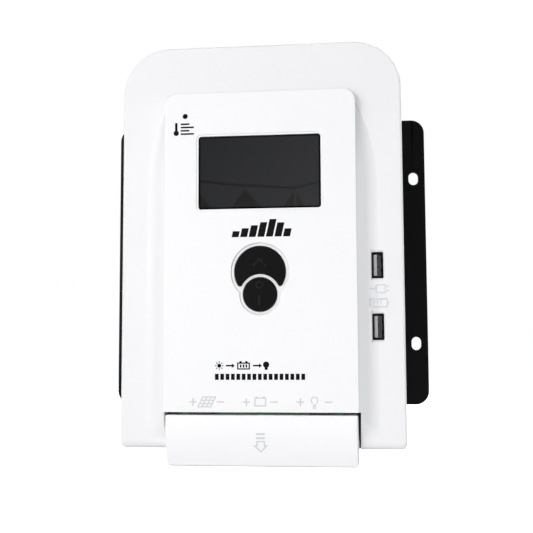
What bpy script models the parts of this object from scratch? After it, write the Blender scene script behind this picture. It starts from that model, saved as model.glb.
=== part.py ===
"""Wall-mounted solar charge controller, built as an assembly of separate parts.

Frame: X to the right seen from the front, Z up, the front faces -Y and the wall plane is Y = 0.
The origin is the centre of the mounting-slot pattern. All sizes are in metres.
"""

import math

import bmesh
import bpy
from mathutils import Matrix, Vector

MM = 0.001
GAP = 0.3 * MM  # clearance between pieces that rest on each other

# Depths along Y, from the wall outwards
FLANGE_THICKNESS = 3.0 * MM
BASE_PLATE_BACK = -17.0 * MM
BASE_PLATE_FRONT = -22.0 * MM
REAR_SHELL_BACK = BASE_PLATE_FRONT - GAP
REAR_WALL_FRONT = -24.8 * MM
PARTING_Y = -36.0 * MM
PLATE_Y = -51.5 * MM
CONSOLE_Y = -58.0 * MM
WALL = 2.5 * MM

# Heat sink
FLANGE_HALF_WIDTH = 89.0 * MM
HEATSINK_HALF_HEIGHT = 81.0 * MM
FLANGE_CORNER = 7.5 * MM
BASE_HALF_WIDTH = 66.0 * MM
FIN_COUNT_PER_SIDE = 6
FIN_PITCH = 9.6 * MM
FIN_THICKNESS = 1.8 * MM
FIN_SETBACK = 0.5 * MM  # the thin fins stop this far from the wall
CENTRE_RIB_THICKNESS = 8.0 * MM
EDGE_RIB_THICKNESS = 3.0 * MM
THREAD_RADIUS = 1.6 * MM
SPREADER_HALF_WIDTH = 45.0 * MM
SPREADER_HALF_HEIGHT = 25.0 * MM
SPREADER_FRONT = REAR_WALL_FRONT - 1.4 * MM
SLOT_X = 82.5 * MM
SLOT_Z = 47.0 * MM
SLOT_WIDTH = 5.4 * MM
SLOT_LENGTH = 7.4 * MM

# Body outline
BODY_HALF_WIDTH = 74.0 * MM
BODY_TOP = 112.0 * MM
BODY_BOTTOM = -100.6 * MM
BODY_TOP_CORNER = 25.0 * MM
BODY_BOTTOM_CORNER = 2.5 * MM
SIDE_RIM = 1.3 * MM
BOTTOM_RIM = 4.0 * MM
SIDE_DRAFT = 1.0 * MM
REAR_INSET = 2.0 * MM
REAR_DRAFT = 2.0 * MM

# Raised console on the front
CONSOLE_HALF_WIDTH = 49.8 * MM
CONSOLE_TOP = 85.1 * MM
CONSOLE_CORNER = 6.5 * MM
SEAM_TOP = -81.7 * MM
FLARE_WIDTH = 7.3 * MM
FLARE_MIN = 0.4 * MM
FLARE_START = CONSOLE_TOP - CONSOLE_CORNER
FLARE_FULL = 50.0 * MM
CONSOLE_FADE_START = -85.0 * MM
CONSOLE_FADE_END = -94.0 * MM
CONSOLE_SINK = 0.05 * MM  # the foot of the flare dips this far under the body's face
FLARE_STEPS = 5

# Terminal compartment and its cover
NOTCH_HALF_WIDTH = 50.7 * MM
CHEEK = 2.0 * MM
COVER_HALF_WIDTH = 49.3 * MM
COVER_TOP = -82.9 * MM
COVER_BOTTOM = -110.0 * MM
COVER_CURVE_START = -84.0 * MM
COVER_CURVE_BACK = 9.5 * MM
COVER_CURVE_POWER = 1.6
COVER_BACK_Y = -27.0 * MM
COVER_DRAFT = 0.9 * MM
COVER_WALL = 2.2 * MM
COVER_HOOK_X = 30.0 * MM
COVER_HOOK_HALF_WIDTH = 5.0 * MM
COVER_HOOK_TOP = -78.0 * MM
COVER_HOOK_FRONT = -55.0 * MM
COVER_HOOK_BACK = -53.2 * MM

# Terminals
TERMINAL_COUNT = 6
TERMINAL_PITCH = 13.9 * MM
BLOCK_HALF_WIDTH = 43.0 * MM
BLOCK_TOP = -78.5 * MM
BLOCK_BOTTOM = -99.0 * MM
BLOCK_FRONT = -48.5 * MM
BLOCK_BACK = REAR_WALL_FRONT - GAP
CELL_HALF_WIDTH = 5.7 * MM
CELL_FRONT = -45.0 * MM
CELL_BACK = -26.6 * MM
CELL_TOP = -81.0 * MM
SCREW_Z = -90.0 * MM
SCREW_HEAD_RADIUS = 3.6 * MM
SCREW_SHANK_RADIUS = 2.4 * MM
SCREW_HOLE_RADIUS = 4.1 * MM
SCREW_HEAD_FRONT = -48.0 * MM
SCREW_HEAD_BACK = -45.6 * MM
SCREW_TIP = -37.6 * MM
CROSS_HALF_LENGTH = 2.4 * MM
CROSS_HALF_WIDTH = 0.45 * MM
CROSS_DEPTH = 1.2 * MM
CAGE_HALF_WIDTH = 5.2 * MM
CAGE_FRONT = -40.5 * MM
CAGE_BACK = -27.0 * MM
CAGE_WALL = 1.6 * MM
CAGE_THREAD_WALL = 2.2 * MM
CAGE_HALF_HEIGHT = 4.6 * MM
BAR_FRONT = -36.6 * MM
BAR_BACK = -35.1 * MM
BAR_HALF_WIDTH = 3.0 * MM
BAR_BOTTOM = -96.5 * MM
BAR_TOP = -70.0 * MM

# Display
WINDOW_HALF_WIDTH = 32.0 * MM
WINDOW_LOW = 22.95 * MM
WINDOW_HIGH = 61.65 * MM
WINDOW_RECESS = 0.7 * MM
WINDOW_LIP = 2.5 * MM
MODULE_HALF_WIDTH = 37.5 * MM
MODULE_LOW = 19.0 * MM
MODULE_HIGH = 66.0 * MM
DISPLAY_BOARD_FRONT = -49.2 * MM
DISPLAY_BOARD_HALF_WIDTH = 43.0 * MM
DISPLAY_BOARD_LOW = -37.0 * MM
DISPLAY_BOARD_HIGH = 78.0 * MM
BOARD_THICKNESS = 1.6 * MM

# Buttons: a crescent key wrapped round the top of a round key
BUTTON_X = 0.2 * MM
UP_Z = -9.9 * MM
UP_RADIUS = 13.1 * MM
UP_INNER_RADIUS = 10.9 * MM
POWER_Z = -21.6 * MM
POWER_RADIUS = 8.6 * MM
BUTTON_PROUD = 0.9 * MM
BUTTON_CLEARANCE = 0.35 * MM
BUTTON_FLANGE = 0.8 * MM
BUTTON_BACK = -54.0 * MM
SWITCH_Z = {"up": -3.6 * MM, "power": POWER_Z}
SWITCH_HALF_WIDTH = 3.0 * MM
SWITCH_HEIGHT = 3.6 * MM
SWITCH_FLOOR = 0.8 * MM
SWITCH_BORE_RADIUS = 1.9 * MM
PLUNGER_RADIUS = 1.5 * MM
PLUNGER_STANDOFF = 1.8 * MM

# USB sockets
USB_X = 60.4 * MM
USB_Z = {"upper": -6.7 * MM, "lower": -38.4 * MM}
USB_HOLE_HALF = (3.0 * MM, 6.8 * MM)
USB_FUNNEL = 0.8 * MM
USB_SHELL_HALF = (2.7 * MM, 6.5 * MM)
USB_SHELL_FRONT = -50.9 * MM
USB_SHELL_BACK = -37.4 * MM
USB_SHEET = 0.35 * MM
USB_TONGUE_SETBACK = 0.6 * MM  # behind the socket's mouth
USB_TONGUE_THICKNESS = 1.8 * MM
USB_TONGUE_HALF_HEIGHT = 5.55 * MM
USB_BLOCK_DEPTH = 3.4 * MM  # the insulator that fills the socket's rear end
USB_BOARD_HALF_WIDTH = 7.4 * MM
USB_BOARD_LOW = -50.0 * MM
USB_BOARD_HIGH = 6.0 * MM

# Main board and what sits on it
MAIN_BOARD_FRONT = -34.7 * MM
MAIN_BOARD_HALF_WIDTH = 64.0 * MM
MAIN_BOARD_TOP = 100.0 * MM
MAIN_BOARD_BOTTOM = -76.0 * MM
MAIN_BOARD_SHOULDER = 17.0 * MM  # width of the steps cut from its upper corners
BOARD_HOLE_RADIUS = 1.8 * MM
MOSFET_X = (-30.0 * MM, -10.0 * MM, 10.0 * MM, 30.0 * MM)
MOSFET_HALF_WIDTH = 5.0 * MM
MOSFET_THICKNESS = 4.4 * MM
MOSFET_LOW = -9.0 * MM
MOSFET_BODY_HIGH = 6.0 * MM
MOSFET_TAB_HIGH = 12.0 * MM
MOSFET_TAB_THICKNESS = 1.3 * MM
MOSFET_HOLE_Z = 9.0 * MM
CAPACITOR_X = (-34.0 * MM, -13.0 * MM, 8.0 * MM)
CAPACITOR_Z = -56.0 * MM
CAPACITOR_RADIUS = 9.0 * MM
CAPACITOR_HEIGHT = 17.0 * MM
CAPACITOR_CHAMFER = 0.8 * MM
CAPACITOR_BASE = 3.0 * MM
CAPACITOR_GROOVE = 0.7 * MM
INDUCTOR_Z = 84.0 * MM
INDUCTOR_RADIUS = 12.0 * MM
INDUCTOR_SECTION = 4.0 * MM
WIRE_RADIUS = 0.9 * MM
WINDING_TURNS = 11
POINTS_PER_TURN = 8
WINDING_START = 20.0  # degrees round the core
WINDING_SWEEP = 320.0
WINDING_SQUARENESS = 0.75
FUSE_LOW = (24.0 * MM, -58.5 * MM)
FUSE_HIGH = (43.0 * MM, -53.5 * MM)
FUSE_HEIGHT = 12.0 * MM
FUSE_BODY_STANDOFF = 4.0 * MM
FUSE_BLADE_X = (25.0 * MM, 37.0 * MM)
FUSE_BLADE_WIDTH = 5.0 * MM
FUSE_BLADE_HALF_THICKNESS = 0.4 * MM
RIBBON_HALF_WIDTH = 10.0 * MM
RIBBON_HALF_THICKNESS = 0.4 * MM
RIBBON_BEND = 3.0 * MM
RIBBON_TOP = -6.0 * MM
RIBBON_TURN = -20.0 * MM
RIBBON_BOTTOM = -38.0 * MM
CASE_SCREW_SPOTS = ((-58.0 * MM, 93.0 * MM), (58.0 * MM, 93.0 * MM),
                    (-62.0 * MM, -90.0 * MM), (62.0 * MM, -90.0 * MM))
BOARD_SCREW_SPOTS = ((-54.0 * MM, 56.0 * MM), (54.0 * MM, 56.0 * MM),
                     (-54.0 * MM, -66.0 * MM), (54.0 * MM, -66.0 * MM))
DISPLAY_BOSS_SPOTS = ((-40.5 * MM, 70.0 * MM), (40.5 * MM, 70.0 * MM),
                      (-40.5 * MM, -34.0 * MM), (40.5 * MM, -34.0 * MM))
BOSS_RADIUS = 3.6 * MM
BOSS_HOLE_RADIUS = 1.7 * MM
SCREW_HEAD = (2.9 * MM, 2.2 * MM)  # radius and height of the housing and board screws' heads
SCREW_RECESS = (1.6 * MM, 0.4 * MM, 1.0 * MM)  # half length, half width and depth of their slots
CASE_SHANK_RADIUS = 1.3 * MM
CASE_SCREW_TIP = PARTING_Y - 9.0 * MM
BOARD_SHANK_RADIUS = 1.2 * MM
BOARD_SCREW_TIP = BASE_PLATE_BACK - 1.5 * MM
SENSOR_X = -39.1 * MM
SENSOR_Z = 72.7 * MM
SENSOR_HOLE_RADIUS = 1.3 * MM
SENSOR_BEAD_RADIUS = 1.1 * MM
SENSOR_STEM_RADIUS = 0.5 * MM
SENSOR_TIP = CONSOLE_Y + 3.2 * MM

PARTS = "charge_controller"


# ---------------------------------------------------------------- scene and materials

def clear_scene():
    for obj in list(bpy.data.objects):
        bpy.data.objects.remove(obj)


def make_material(name, colour, roughness, metallic=0.0):
    material = bpy.data.materials.new(name)
    material.use_nodes = True
    shader = material.node_tree.nodes["Principled BSDF"]
    shader.inputs["Base Color"].default_value = (*colour, 1.0)
    shader.inputs["Roughness"].default_value = roughness
    shader.inputs["Metallic"].default_value = metallic
    material.diffuse_color = (*colour, 1.0)
    return material


def parts_collection():
    collection = bpy.data.collections.get(PARTS)
    if collection is None:
        collection = bpy.data.collections.new(PARTS)
        bpy.context.scene.collection.children.link(collection)
    return collection


def add_part(mesh, name, material=None, origin=(0.0, 0.0, 0.0)):
    """An object for a mesh given in world places, with its origin moved to where it turns or slides."""
    origin = Vector(origin)
    mesh.transform(Matrix.Translation(-origin))
    obj = bpy.data.objects.new(name, mesh)
    obj.location = origin
    if material is not None:
        mesh.materials.clear()
        mesh.materials.append(material)
    parts_collection().objects.link(obj)
    return obj


# ---------------------------------------------------------------- solid building blocks

def mesh_from_bmesh(bm, name="solid"):
    bmesh.ops.recalc_face_normals(bm, faces=bm.faces)
    mesh = bpy.data.meshes.new(name)
    bm.to_mesh(mesh)
    bm.free()
    return mesh


def box(low, high):
    """A box between two opposite corners."""
    low, high = Vector(low), Vector(high)
    bm = bmesh.new()
    bmesh.ops.create_cube(bm, size=1.0)
    size = high - low
    bmesh.ops.scale(bm, vec=size, verts=bm.verts)
    bmesh.ops.translate(bm, vec=(low + high) / 2, verts=bm.verts)
    return mesh_from_bmesh(bm)


def rod(x, z, radius, front, back, segments=24, tip_radius=None):
    """A cylinder or cone along Y between two depths."""
    bm = bmesh.new()
    bmesh.ops.create_cone(bm, cap_ends=True, segments=segments, depth=back - front,
                          radius1=radius if tip_radius is None else tip_radius, radius2=radius)
    bmesh.ops.rotate(bm, matrix=Matrix.Rotation(math.radians(-90), 3, "X"), verts=bm.verts)
    bmesh.ops.translate(bm, vec=(x, (front + back) / 2, z), verts=bm.verts)
    return mesh_from_bmesh(bm)


def flat_piece(outlines, front, back):
    """Flat outlines in the XZ plane, the first with the others as its holes, made thick along Y."""
    curve = bpy.data.curves.new("outline", "CURVE")
    curve.dimensions = "2D"
    curve.fill_mode = "BOTH"
    curve.extrude = (back - front) / 2
    for points in outlines:
        spline = curve.splines.new("POLY")
        spline.points.add(len(points) - 1)
        for point, (x, z) in zip(spline.points, points):
            point.co = (x, z, 0.0, 1.0)
        spline.use_cyclic_u = True
    holder = bpy.data.objects.new("outline", curve)
    holder.rotation_euler = (math.radians(90), 0.0, 0.0)
    holder.location = (0.0, (front + back) / 2, 0.0)
    return mesh_from_curve(holder)


def mesh_from_curve(holder):
    """The welded mesh of a curve object in world places. The curve is removed."""
    bpy.context.scene.collection.objects.link(holder)
    bpy.context.view_layer.update()
    evaluated = holder.evaluated_get(bpy.context.evaluated_depsgraph_get())
    mesh = bpy.data.meshes.new_from_object(evaluated)
    mesh.transform(holder.matrix_world)
    bpy.data.objects.remove(holder)
    bm = bmesh.new()
    bm.from_mesh(mesh)
    bmesh.ops.remove_doubles(bm, verts=bm.verts, dist=0.01 * MM)
    bmesh.ops.recalc_face_normals(bm, faces=bm.faces)
    bm.to_mesh(mesh)
    bm.free()
    return mesh


def loft(rings):
    """A closed solid through rings of the same number of points, with a flat cap at each end."""
    bm = bmesh.new()
    layers = [[bm.verts.new(point) for point in ring] for ring in rings]
    count = len(layers[0])
    for lower, upper in zip(layers, layers[1:]):
        for i in range(count):
            j = (i + 1) % count
            bm.faces.new((lower[i], lower[j], upper[j], upper[i]))
    bm.faces.new(layers[0])
    bm.faces.new(list(reversed(layers[-1])))
    return mesh_from_bmesh(bm)


def modified(mesh, name, kind, **settings):
    """The mesh after one modifier."""
    obj = bpy.data.objects.new("work", mesh)
    bpy.context.scene.collection.objects.link(obj)
    modifier = obj.modifiers.new(name, kind)
    for key, value in settings.items():
        setattr(modifier, key, value)
    bpy.context.view_layer.update()
    evaluated = obj.evaluated_get(bpy.context.evaluated_depsgraph_get())
    result = bpy.data.meshes.new_from_object(evaluated)
    bpy.data.objects.remove(obj)
    return result


def combine(mesh, others, operation):
    """A Boolean of one mesh with several others, one after another."""
    for other in others:
        operand = bpy.data.objects.new("operand", other)
        operand.hide_render = True
        operand.display_type = "WIRE"
        bpy.context.scene.collection.objects.link(operand)
        mesh = modified(mesh, "Boolean", "BOOLEAN", object=operand, operation=operation, solver="EXACT")
        bpy.data.objects.remove(operand)
    return mesh


def cut(mesh, *cutters):
    return combine(mesh, cutters, "DIFFERENCE")


def join(mesh, *others):
    return combine(mesh, others, "UNION")


def turned(profile, centre, steps=24):
    """A piece turned about an axis along Y. The profile lists radius and height from its front end back."""
    mesh = bpy.data.meshes.new("profile")
    points = [(radius, 0.0, height) for radius, height in profile]
    mesh.from_pydata(points, [(i, i + 1) for i in range(len(points) - 1)], [])
    mesh = modified(mesh, "Screw", "SCREW", axis="Z", steps=steps, render_steps=steps,
                    use_merge_vertices=True, merge_threshold=0.01 * MM, use_normal_calculate=True)
    bm = bmesh.new()
    bm.from_mesh(mesh)
    bmesh.ops.remove_doubles(bm, verts=bm.verts, dist=0.01 * MM)
    bmesh.ops.rotate(bm, matrix=Matrix.Rotation(math.radians(90), 3, "X"), verts=bm.verts)
    bmesh.ops.translate(bm, vec=centre, verts=bm.verts)
    return mesh_from_bmesh(bm)


def strip(path, low_x, high_x, thickness):
    """A bent flat strip of even thickness: a path of (y, z) points swept along X."""
    bm = bmesh.new()
    left = [bm.verts.new((low_x, y, z)) for y, z in path]
    right = [bm.verts.new((high_x, y, z)) for y, z in path]
    for i in range(len(path) - 1):
        bm.faces.new((left[i], left[i + 1], right[i + 1], right[i]))
    mesh = bpy.data.meshes.new("strip")
    bm.to_mesh(mesh)
    bm.free()
    return modified(mesh, "Solidify", "SOLIDIFY", thickness=thickness, offset=0.0)


# ---------------------------------------------------------------- outlines

def arc(centre, radius, start, end, steps):
    """Points on an arc from start to end in degrees, both ends included."""
    points = []
    for i in range(steps + 1):
        angle = math.radians(start + (end - start) * i / steps)
        points.append((centre[0] + radius * math.cos(angle), centre[1] + radius * math.sin(angle)))
    return points


def rounded_rectangle(half_width, low, high, low_radius, high_radius, low_steps=3, high_steps=8):
    """Anticlockwise outline, starting at the right side's lower end."""
    x = half_width
    points = arc((x - low_radius, low + low_radius), low_radius, -90, 0, low_steps)
    points += arc((x - high_radius, high - high_radius), high_radius, 0, 90, high_steps)
    points += arc((-x + high_radius, high - high_radius), high_radius, 90, 180, high_steps)
    points += arc((-x + low_radius, low + low_radius), low_radius, 180, 270, low_steps)
    return points


def slot_outline(x, z, width, length, steps=8):
    """An upright slot with round ends."""
    radius = width / 2
    reach = (length - width) / 2
    return arc((x, z + reach), radius, 0, 180, steps) + arc((x, z - reach), radius, 180, 360, steps)


def circle(x, z, radius, steps=40):
    return arc((x, z), radius, 0, 360 * (steps - 1) / steps, steps - 1)


def crescent(outer_radius, inner_radius, steps=28):
    """The up key's outline: its disc less the disc round the power key."""
    gap = UP_Z - POWER_Z
    rise = (inner_radius ** 2 - outer_radius ** 2 + gap ** 2) / (2 * gap)
    outer_angle = math.degrees(math.asin((rise - gap) / outer_radius))
    inner_angle = math.degrees(math.asin(rise / inner_radius))
    outer = arc((BUTTON_X, UP_Z), outer_radius, outer_angle, 180 - outer_angle, steps)
    inner = arc((BUTTON_X, POWER_Z), inner_radius, 180 - inner_angle, inner_angle, steps)
    return outer + inner[1:-1]


def body_ring(y, side_inset, bottom_inset):
    """The body's outline at one depth."""
    outline = rounded_rectangle(BODY_HALF_WIDTH - side_inset, BODY_BOTTOM + bottom_inset,
                                BODY_TOP - side_inset, BODY_BOTTOM_CORNER,
                                BODY_TOP_CORNER - side_inset)
    return [(x, y, z) for x, z in outline]


def rim_inset(depth, radius):
    """How far a rounded rim of that radius stands in, at a depth behind its flat face."""
    if depth >= radius:
        return 0.0
    return radius - math.sqrt(radius ** 2 - (radius - depth) ** 2)


def smooth_step(value, start, end):
    share = min(1.0, max(0.0, (value - start) / (end - start)))
    return share * share * (3 - 2 * share)


def cover_face_y(z):
    """Depth of the terminal cover's face, which curves back towards its lower edge."""
    if z >= COVER_CURVE_START:
        return CONSOLE_Y
    share = (COVER_CURVE_START - z) / (COVER_CURVE_START - COVER_BOTTOM)
    return CONSOLE_Y + COVER_CURVE_BACK * share ** COVER_CURVE_POWER


# ---------------------------------------------------------------- housing

def console_section(half_width, z):
    """The console's cross-section at one height: flat face, flared sides and a base sunk in the body."""
    flare = FLARE_MIN + (FLARE_WIDTH - FLARE_MIN) * smooth_step(-z, -FLARE_START, -FLARE_FULL)
    fade = 1 - smooth_step(-z, -CONSOLE_FADE_START, -CONSOLE_FADE_END)
    face_y = PLATE_Y + CONSOLE_SINK - (PLATE_Y + CONSOLE_SINK - CONSOLE_Y) * fade
    right = [(half_width + flare, PLATE_Y + MM)]
    for step in range(FLARE_STEPS, -1, -1):
        angle = math.radians(90 * step / FLARE_STEPS)
        y = face_y + (PLATE_Y + CONSOLE_SINK - face_y) * math.sin(angle)
        right.append((half_width + flare * (1 - math.cos(angle)), y))
    section = right + [(-x, y) for x, y in reversed(right)]
    return [(x, y, z) for x, y in section]


def console_solid():
    """The raised console: its sides flare out into the body's face, its top drops straight to it."""
    sections = []
    for x, z in arc((CONSOLE_HALF_WIDTH - CONSOLE_CORNER, FLARE_START), CONSOLE_CORNER, 90, 0, 8):
        sections.append(console_section(x, z))
    levels = [FLARE_START - i * (FLARE_START - FLARE_FULL) / 5 for i in range(1, 6)]
    levels.append(CONSOLE_FADE_START)
    levels += [CONSOLE_FADE_START + i * (CONSOLE_FADE_END - CONSOLE_FADE_START) / 5 for i in range(1, 5)]
    for z in levels:
        sections.append(console_section(CONSOLE_HALF_WIDTH, z))
    mesh = loft(sections)
    bm = bmesh.new()
    bm.from_mesh(mesh)
    bmesh.ops.triangulate(bm, faces=bm.faces)
    return mesh_from_bmesh(bm)


def inner_cavity(front, back, inset_front, inset_back):
    """Inside space of a shell half, which leaves the terminal compartment's cheeks and ceiling standing."""
    rings = []
    for y, inset in ((front, inset_front), (back, inset_back)):
        rings.append(body_ring(y, inset, inset))
    reach = NOTCH_HALF_WIDTH + CHEEK
    keep = box((-reach, front - MM, BODY_BOTTOM - MM), (reach, back + MM, SEAM_TOP + CHEEK))
    return cut(loft(rings), keep)


def front_shell(material):
    depths = [0.0, 0.1, 0.4, 0.8, 1.3, 2.2, 3.1, 4.0]
    rings = []
    for depth in depths:
        depth *= MM
        rings.append(body_ring(PLATE_Y + depth, rim_inset(depth, SIDE_RIM), rim_inset(depth, BOTTOM_RIM)))
    rings.append(body_ring(PARTING_Y, SIDE_DRAFT, SIDE_DRAFT))
    shell = join(loft(rings), console_solid())
    shell = cut(shell, inner_cavity(PLATE_Y + WALL, PARTING_Y + MM, WALL, WALL + SIDE_DRAFT))
    inside_x = CONSOLE_HALF_WIDTH - WALL
    shell = cut(shell, box((-inside_x, CONSOLE_Y + WALL, SEAM_TOP + 2 * CHEEK),
                           (inside_x, PLATE_Y + WALL + MM, CONSOLE_TOP - WALL)))
    bosses = [rod(x, z, BOSS_RADIUS, PLATE_Y + WALL - MM, PARTING_Y, 16) for x, z in CASE_SCREW_SPOTS]
    bosses += [rod(x, z, BOSS_RADIUS / 2, CONSOLE_Y + WALL - MM, DISPLAY_BOARD_FRONT - GAP, 12)
               for x, z in DISPLAY_BOSS_SPOTS]
    shell = join(shell, *bosses)
    front, back = CONSOLE_Y - MM, PARTING_Y + MM
    notch = box((-NOTCH_HALF_WIDTH, front, BODY_BOTTOM - MM), (NOTCH_HALF_WIDTH, back, SEAM_TOP))
    block_hole = box((-BLOCK_HALF_WIDTH - GAP, BLOCK_FRONT - GAP, SEAM_TOP - MM),
                     (BLOCK_HALF_WIDTH + GAP, back, SEAM_TOP + CHEEK + MM))
    openings = [notch, block_hole]
    for side in (-1, 1):
        x, reach = side * COVER_HOOK_X, COVER_HOOK_HALF_WIDTH + GAP
        openings.append(box((x - reach, COVER_HOOK_FRONT - GAP, SEAM_TOP - MM),
                            (x + reach, COVER_HOOK_BACK + GAP, SEAM_TOP + 2 * CHEEK + MM)))
    openings.append(box((-WINDOW_HALF_WIDTH, front, WINDOW_LOW), (WINDOW_HALF_WIDTH, PLATE_Y, WINDOW_HIGH)))
    up_hole = crescent(UP_RADIUS + BUTTON_CLEARANCE, UP_INNER_RADIUS - BUTTON_CLEARANCE)
    power_hole = circle(BUTTON_X, POWER_Z, POWER_RADIUS + BUTTON_CLEARANCE)
    openings += [flat_piece([outline], front, PLATE_Y) for outline in (up_hole, power_hole)]
    openings.append(rod(SENSOR_X, SENSOR_Z, SENSOR_HOLE_RADIUS, front, PLATE_Y, 16))
    openings += [usb_funnel(z) for z in USB_Z.values()]
    openings += [rod(x, z, BOSS_HOLE_RADIUS, PLATE_Y + WALL + MM, back, 12) for x, z in CASE_SCREW_SPOTS]
    add_part(cut(shell, *openings), "front_shell", material)


def usb_funnel(z):
    """The hole for one USB socket, with a chamfered mouth."""
    half_x, half_z = USB_HOLE_HALF
    rings = []
    mouth, throat = (PLATE_Y - MM, USB_FUNNEL + MM), (PLATE_Y + USB_FUNNEL, 0.0)
    for y, grow in (mouth, throat, (PLATE_Y + WALL + MM, 0.0)):
        x_reach, z_reach = half_x + grow, half_z + grow
        rings.append([(USB_X - x_reach, y, z - z_reach), (USB_X + x_reach, y, z - z_reach),
                      (USB_X + x_reach, y, z + z_reach), (USB_X - x_reach, y, z + z_reach)])
    return loft(rings)


def rear_shell(material):
    front = PARTING_Y + GAP
    shell = loft([body_ring(front, REAR_INSET, REAR_INSET),
                  body_ring(REAR_SHELL_BACK, REAR_INSET + REAR_DRAFT, REAR_INSET + REAR_DRAFT)])
    shell = cut(shell, inner_cavity(front - MM, REAR_WALL_FRONT, REAR_INSET + WALL,
                                    REAR_INSET + REAR_DRAFT + WALL))
    posts = [rod(x, z, BOSS_RADIUS, front, REAR_WALL_FRONT + MM, 16) for x, z in CASE_SCREW_SPOTS]
    board_back = MAIN_BOARD_FRONT + BOARD_THICKNESS + GAP
    posts += [rod(x, z, BOSS_RADIUS, board_back, REAR_WALL_FRONT + MM, 16) for x, z in BOARD_SCREW_SPOTS]
    shell = join(shell, *posts)
    back = REAR_SHELL_BACK + MM
    notch = box((-NOTCH_HALF_WIDTH, front - MM, BODY_BOTTOM - MM),
                (NOTCH_HALF_WIDTH, REAR_WALL_FRONT, SEAM_TOP))
    block_hole = box((-BLOCK_HALF_WIDTH - GAP, front - MM, SEAM_TOP - MM),
                     (BLOCK_HALF_WIDTH + GAP, REAR_WALL_FRONT, SEAM_TOP + CHEEK + MM))
    window_x, window_z = SPREADER_HALF_WIDTH + MM, SPREADER_HALF_HEIGHT + MM
    spreader_hole = box((-window_x, REAR_WALL_FRONT - MM, -window_z), (window_x, back, window_z))
    holes = [rod(x, z, BOSS_HOLE_RADIUS, front - MM, back, 12)
             for x, z in CASE_SCREW_SPOTS + BOARD_SCREW_SPOTS]
    add_part(cut(shell, notch, block_hole, spreader_hole, *holes), "rear_shell", material)


def terminal_cover(material):
    """Cover over the terminals, with a face that curves back. It is open below and behind."""
    steps = 10
    levels = [COVER_TOP] + [COVER_CURVE_START + (COVER_BOTTOM - COVER_CURVE_START) * i / steps
                            for i in range(steps + 1)]
    face = [(cover_face_y(z), z) for z in levels]
    profile = face + [(COVER_BACK_Y, COVER_BOTTOM), (COVER_BACK_Y, COVER_TOP)]
    outer = loft([[(x, y, z) for y, z in profile] for x in (-COVER_HALF_WIDTH, COVER_HALF_WIDTH)])
    for vertex in outer.vertices:
        share = (vertex.co.y - CONSOLE_Y) / (COVER_BACK_Y - CONSOLE_Y)
        vertex.co.x += math.copysign(COVER_DRAFT * share, vertex.co.x)
    inner_x = COVER_HALF_WIDTH - COVER_WALL
    inner_face = [(y + COVER_WALL, z) for y, z in face]
    inner_face[0] = (CONSOLE_Y + COVER_WALL, COVER_TOP - COVER_WALL)
    inner_face[1] = (CONSOLE_Y + COVER_WALL, COVER_TOP - COVER_WALL - 0.1 * MM)
    low = COVER_BOTTOM - MM
    inner = inner_face + [(inner_face[-1][0], low), (COVER_BACK_Y + MM, low),
                          (COVER_BACK_Y + MM, COVER_TOP + MM), (BLOCK_FRONT - 2 * MM, COVER_TOP + MM),
                          (BLOCK_FRONT - 2 * MM, COVER_TOP - COVER_WALL)]
    cavity = loft([[(x, y, z) for y, z in inner] for x in (-inner_x, inner_x)])
    cover = cut(outer, cavity)
    hooks = []
    for side in (-1, 1):
        x = side * COVER_HOOK_X
        hooks.append(box((x - COVER_HOOK_HALF_WIDTH, COVER_HOOK_FRONT, COVER_TOP - MM),
                         (x + COVER_HOOK_HALF_WIDTH, COVER_HOOK_BACK, COVER_HOOK_TOP)))
    add_part(join(cover, *hooks), "terminal_cover", material, (0.0, CONSOLE_Y, COVER_TOP))


# ---------------------------------------------------------------- heat sink

def heatsink(material):
    """One extrusion: base plate, upright fins and two wall flanges, then corner rounds and slots."""
    bottom, top = -HEATSINK_HALF_HEIGHT, HEATSINK_HALF_HEIGHT
    half = [(CENTRE_RIB_THICKNESS / 2, 0.0), (CENTRE_RIB_THICKNESS / 2, BASE_PLATE_BACK)]
    for i in range(1, FIN_COUNT_PER_SIDE + 1):
        x = i * FIN_PITCH
        half += [(x - FIN_THICKNESS / 2, BASE_PLATE_BACK), (x - FIN_THICKNESS / 2, -FIN_SETBACK),
                 (x + FIN_THICKNESS / 2, -FIN_SETBACK), (x + FIN_THICKNESS / 2, BASE_PLATE_BACK)]
    edge = BASE_HALF_WIDTH - EDGE_RIB_THICKNESS
    half += [(edge, BASE_PLATE_BACK), (edge, 0.0), (FLANGE_HALF_WIDTH, 0.0),
             (FLANGE_HALF_WIDTH, -FLANGE_THICKNESS), (BASE_HALF_WIDTH, -FLANGE_THICKNESS),
             (BASE_HALF_WIDTH, BASE_PLATE_FRONT)]
    profile = half + [(-x, y) for x, y in reversed(half)]
    body = loft([[(x, y, z) for x, y in profile] for z in (bottom, top)])
    reach = 2 * FLANGE_HALF_WIDTH
    frame = [(-reach, 2 * bottom), (reach, 2 * bottom), (reach, 2 * top), (-reach, 2 * top)]
    corners = rounded_rectangle(FLANGE_HALF_WIDTH, bottom, top, FLANGE_CORNER, FLANGE_CORNER, 6, 6)
    round_off = flat_piece([frame, corners], -FLANGE_THICKNESS - MM, MM)
    slots = [flat_piece([slot_outline(sx * SLOT_X, sz * SLOT_Z, SLOT_WIDTH, SLOT_LENGTH)],
                        -FLANGE_THICKNESS - MM, MM) for sx in (-1, 1) for sz in (-1, 1)]
    threads = [rod(x, z, THREAD_RADIUS, BASE_PLATE_FRONT - MM, BASE_PLATE_BACK + MM, 12)
               for x, z in BOARD_SCREW_SPOTS]
    add_part(cut(body, round_off, *slots, *threads), "heatsink", material)


def heat_spreader(material):
    """A block through the rear shell's window, between the power transistors and the heat sink."""
    add_part(box((-SPREADER_HALF_WIDTH, SPREADER_FRONT, -SPREADER_HALF_HEIGHT),
                 (SPREADER_HALF_WIDTH, BASE_PLATE_FRONT - GAP, SPREADER_HALF_HEIGHT)),
             "heat_spreader", material)


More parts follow.
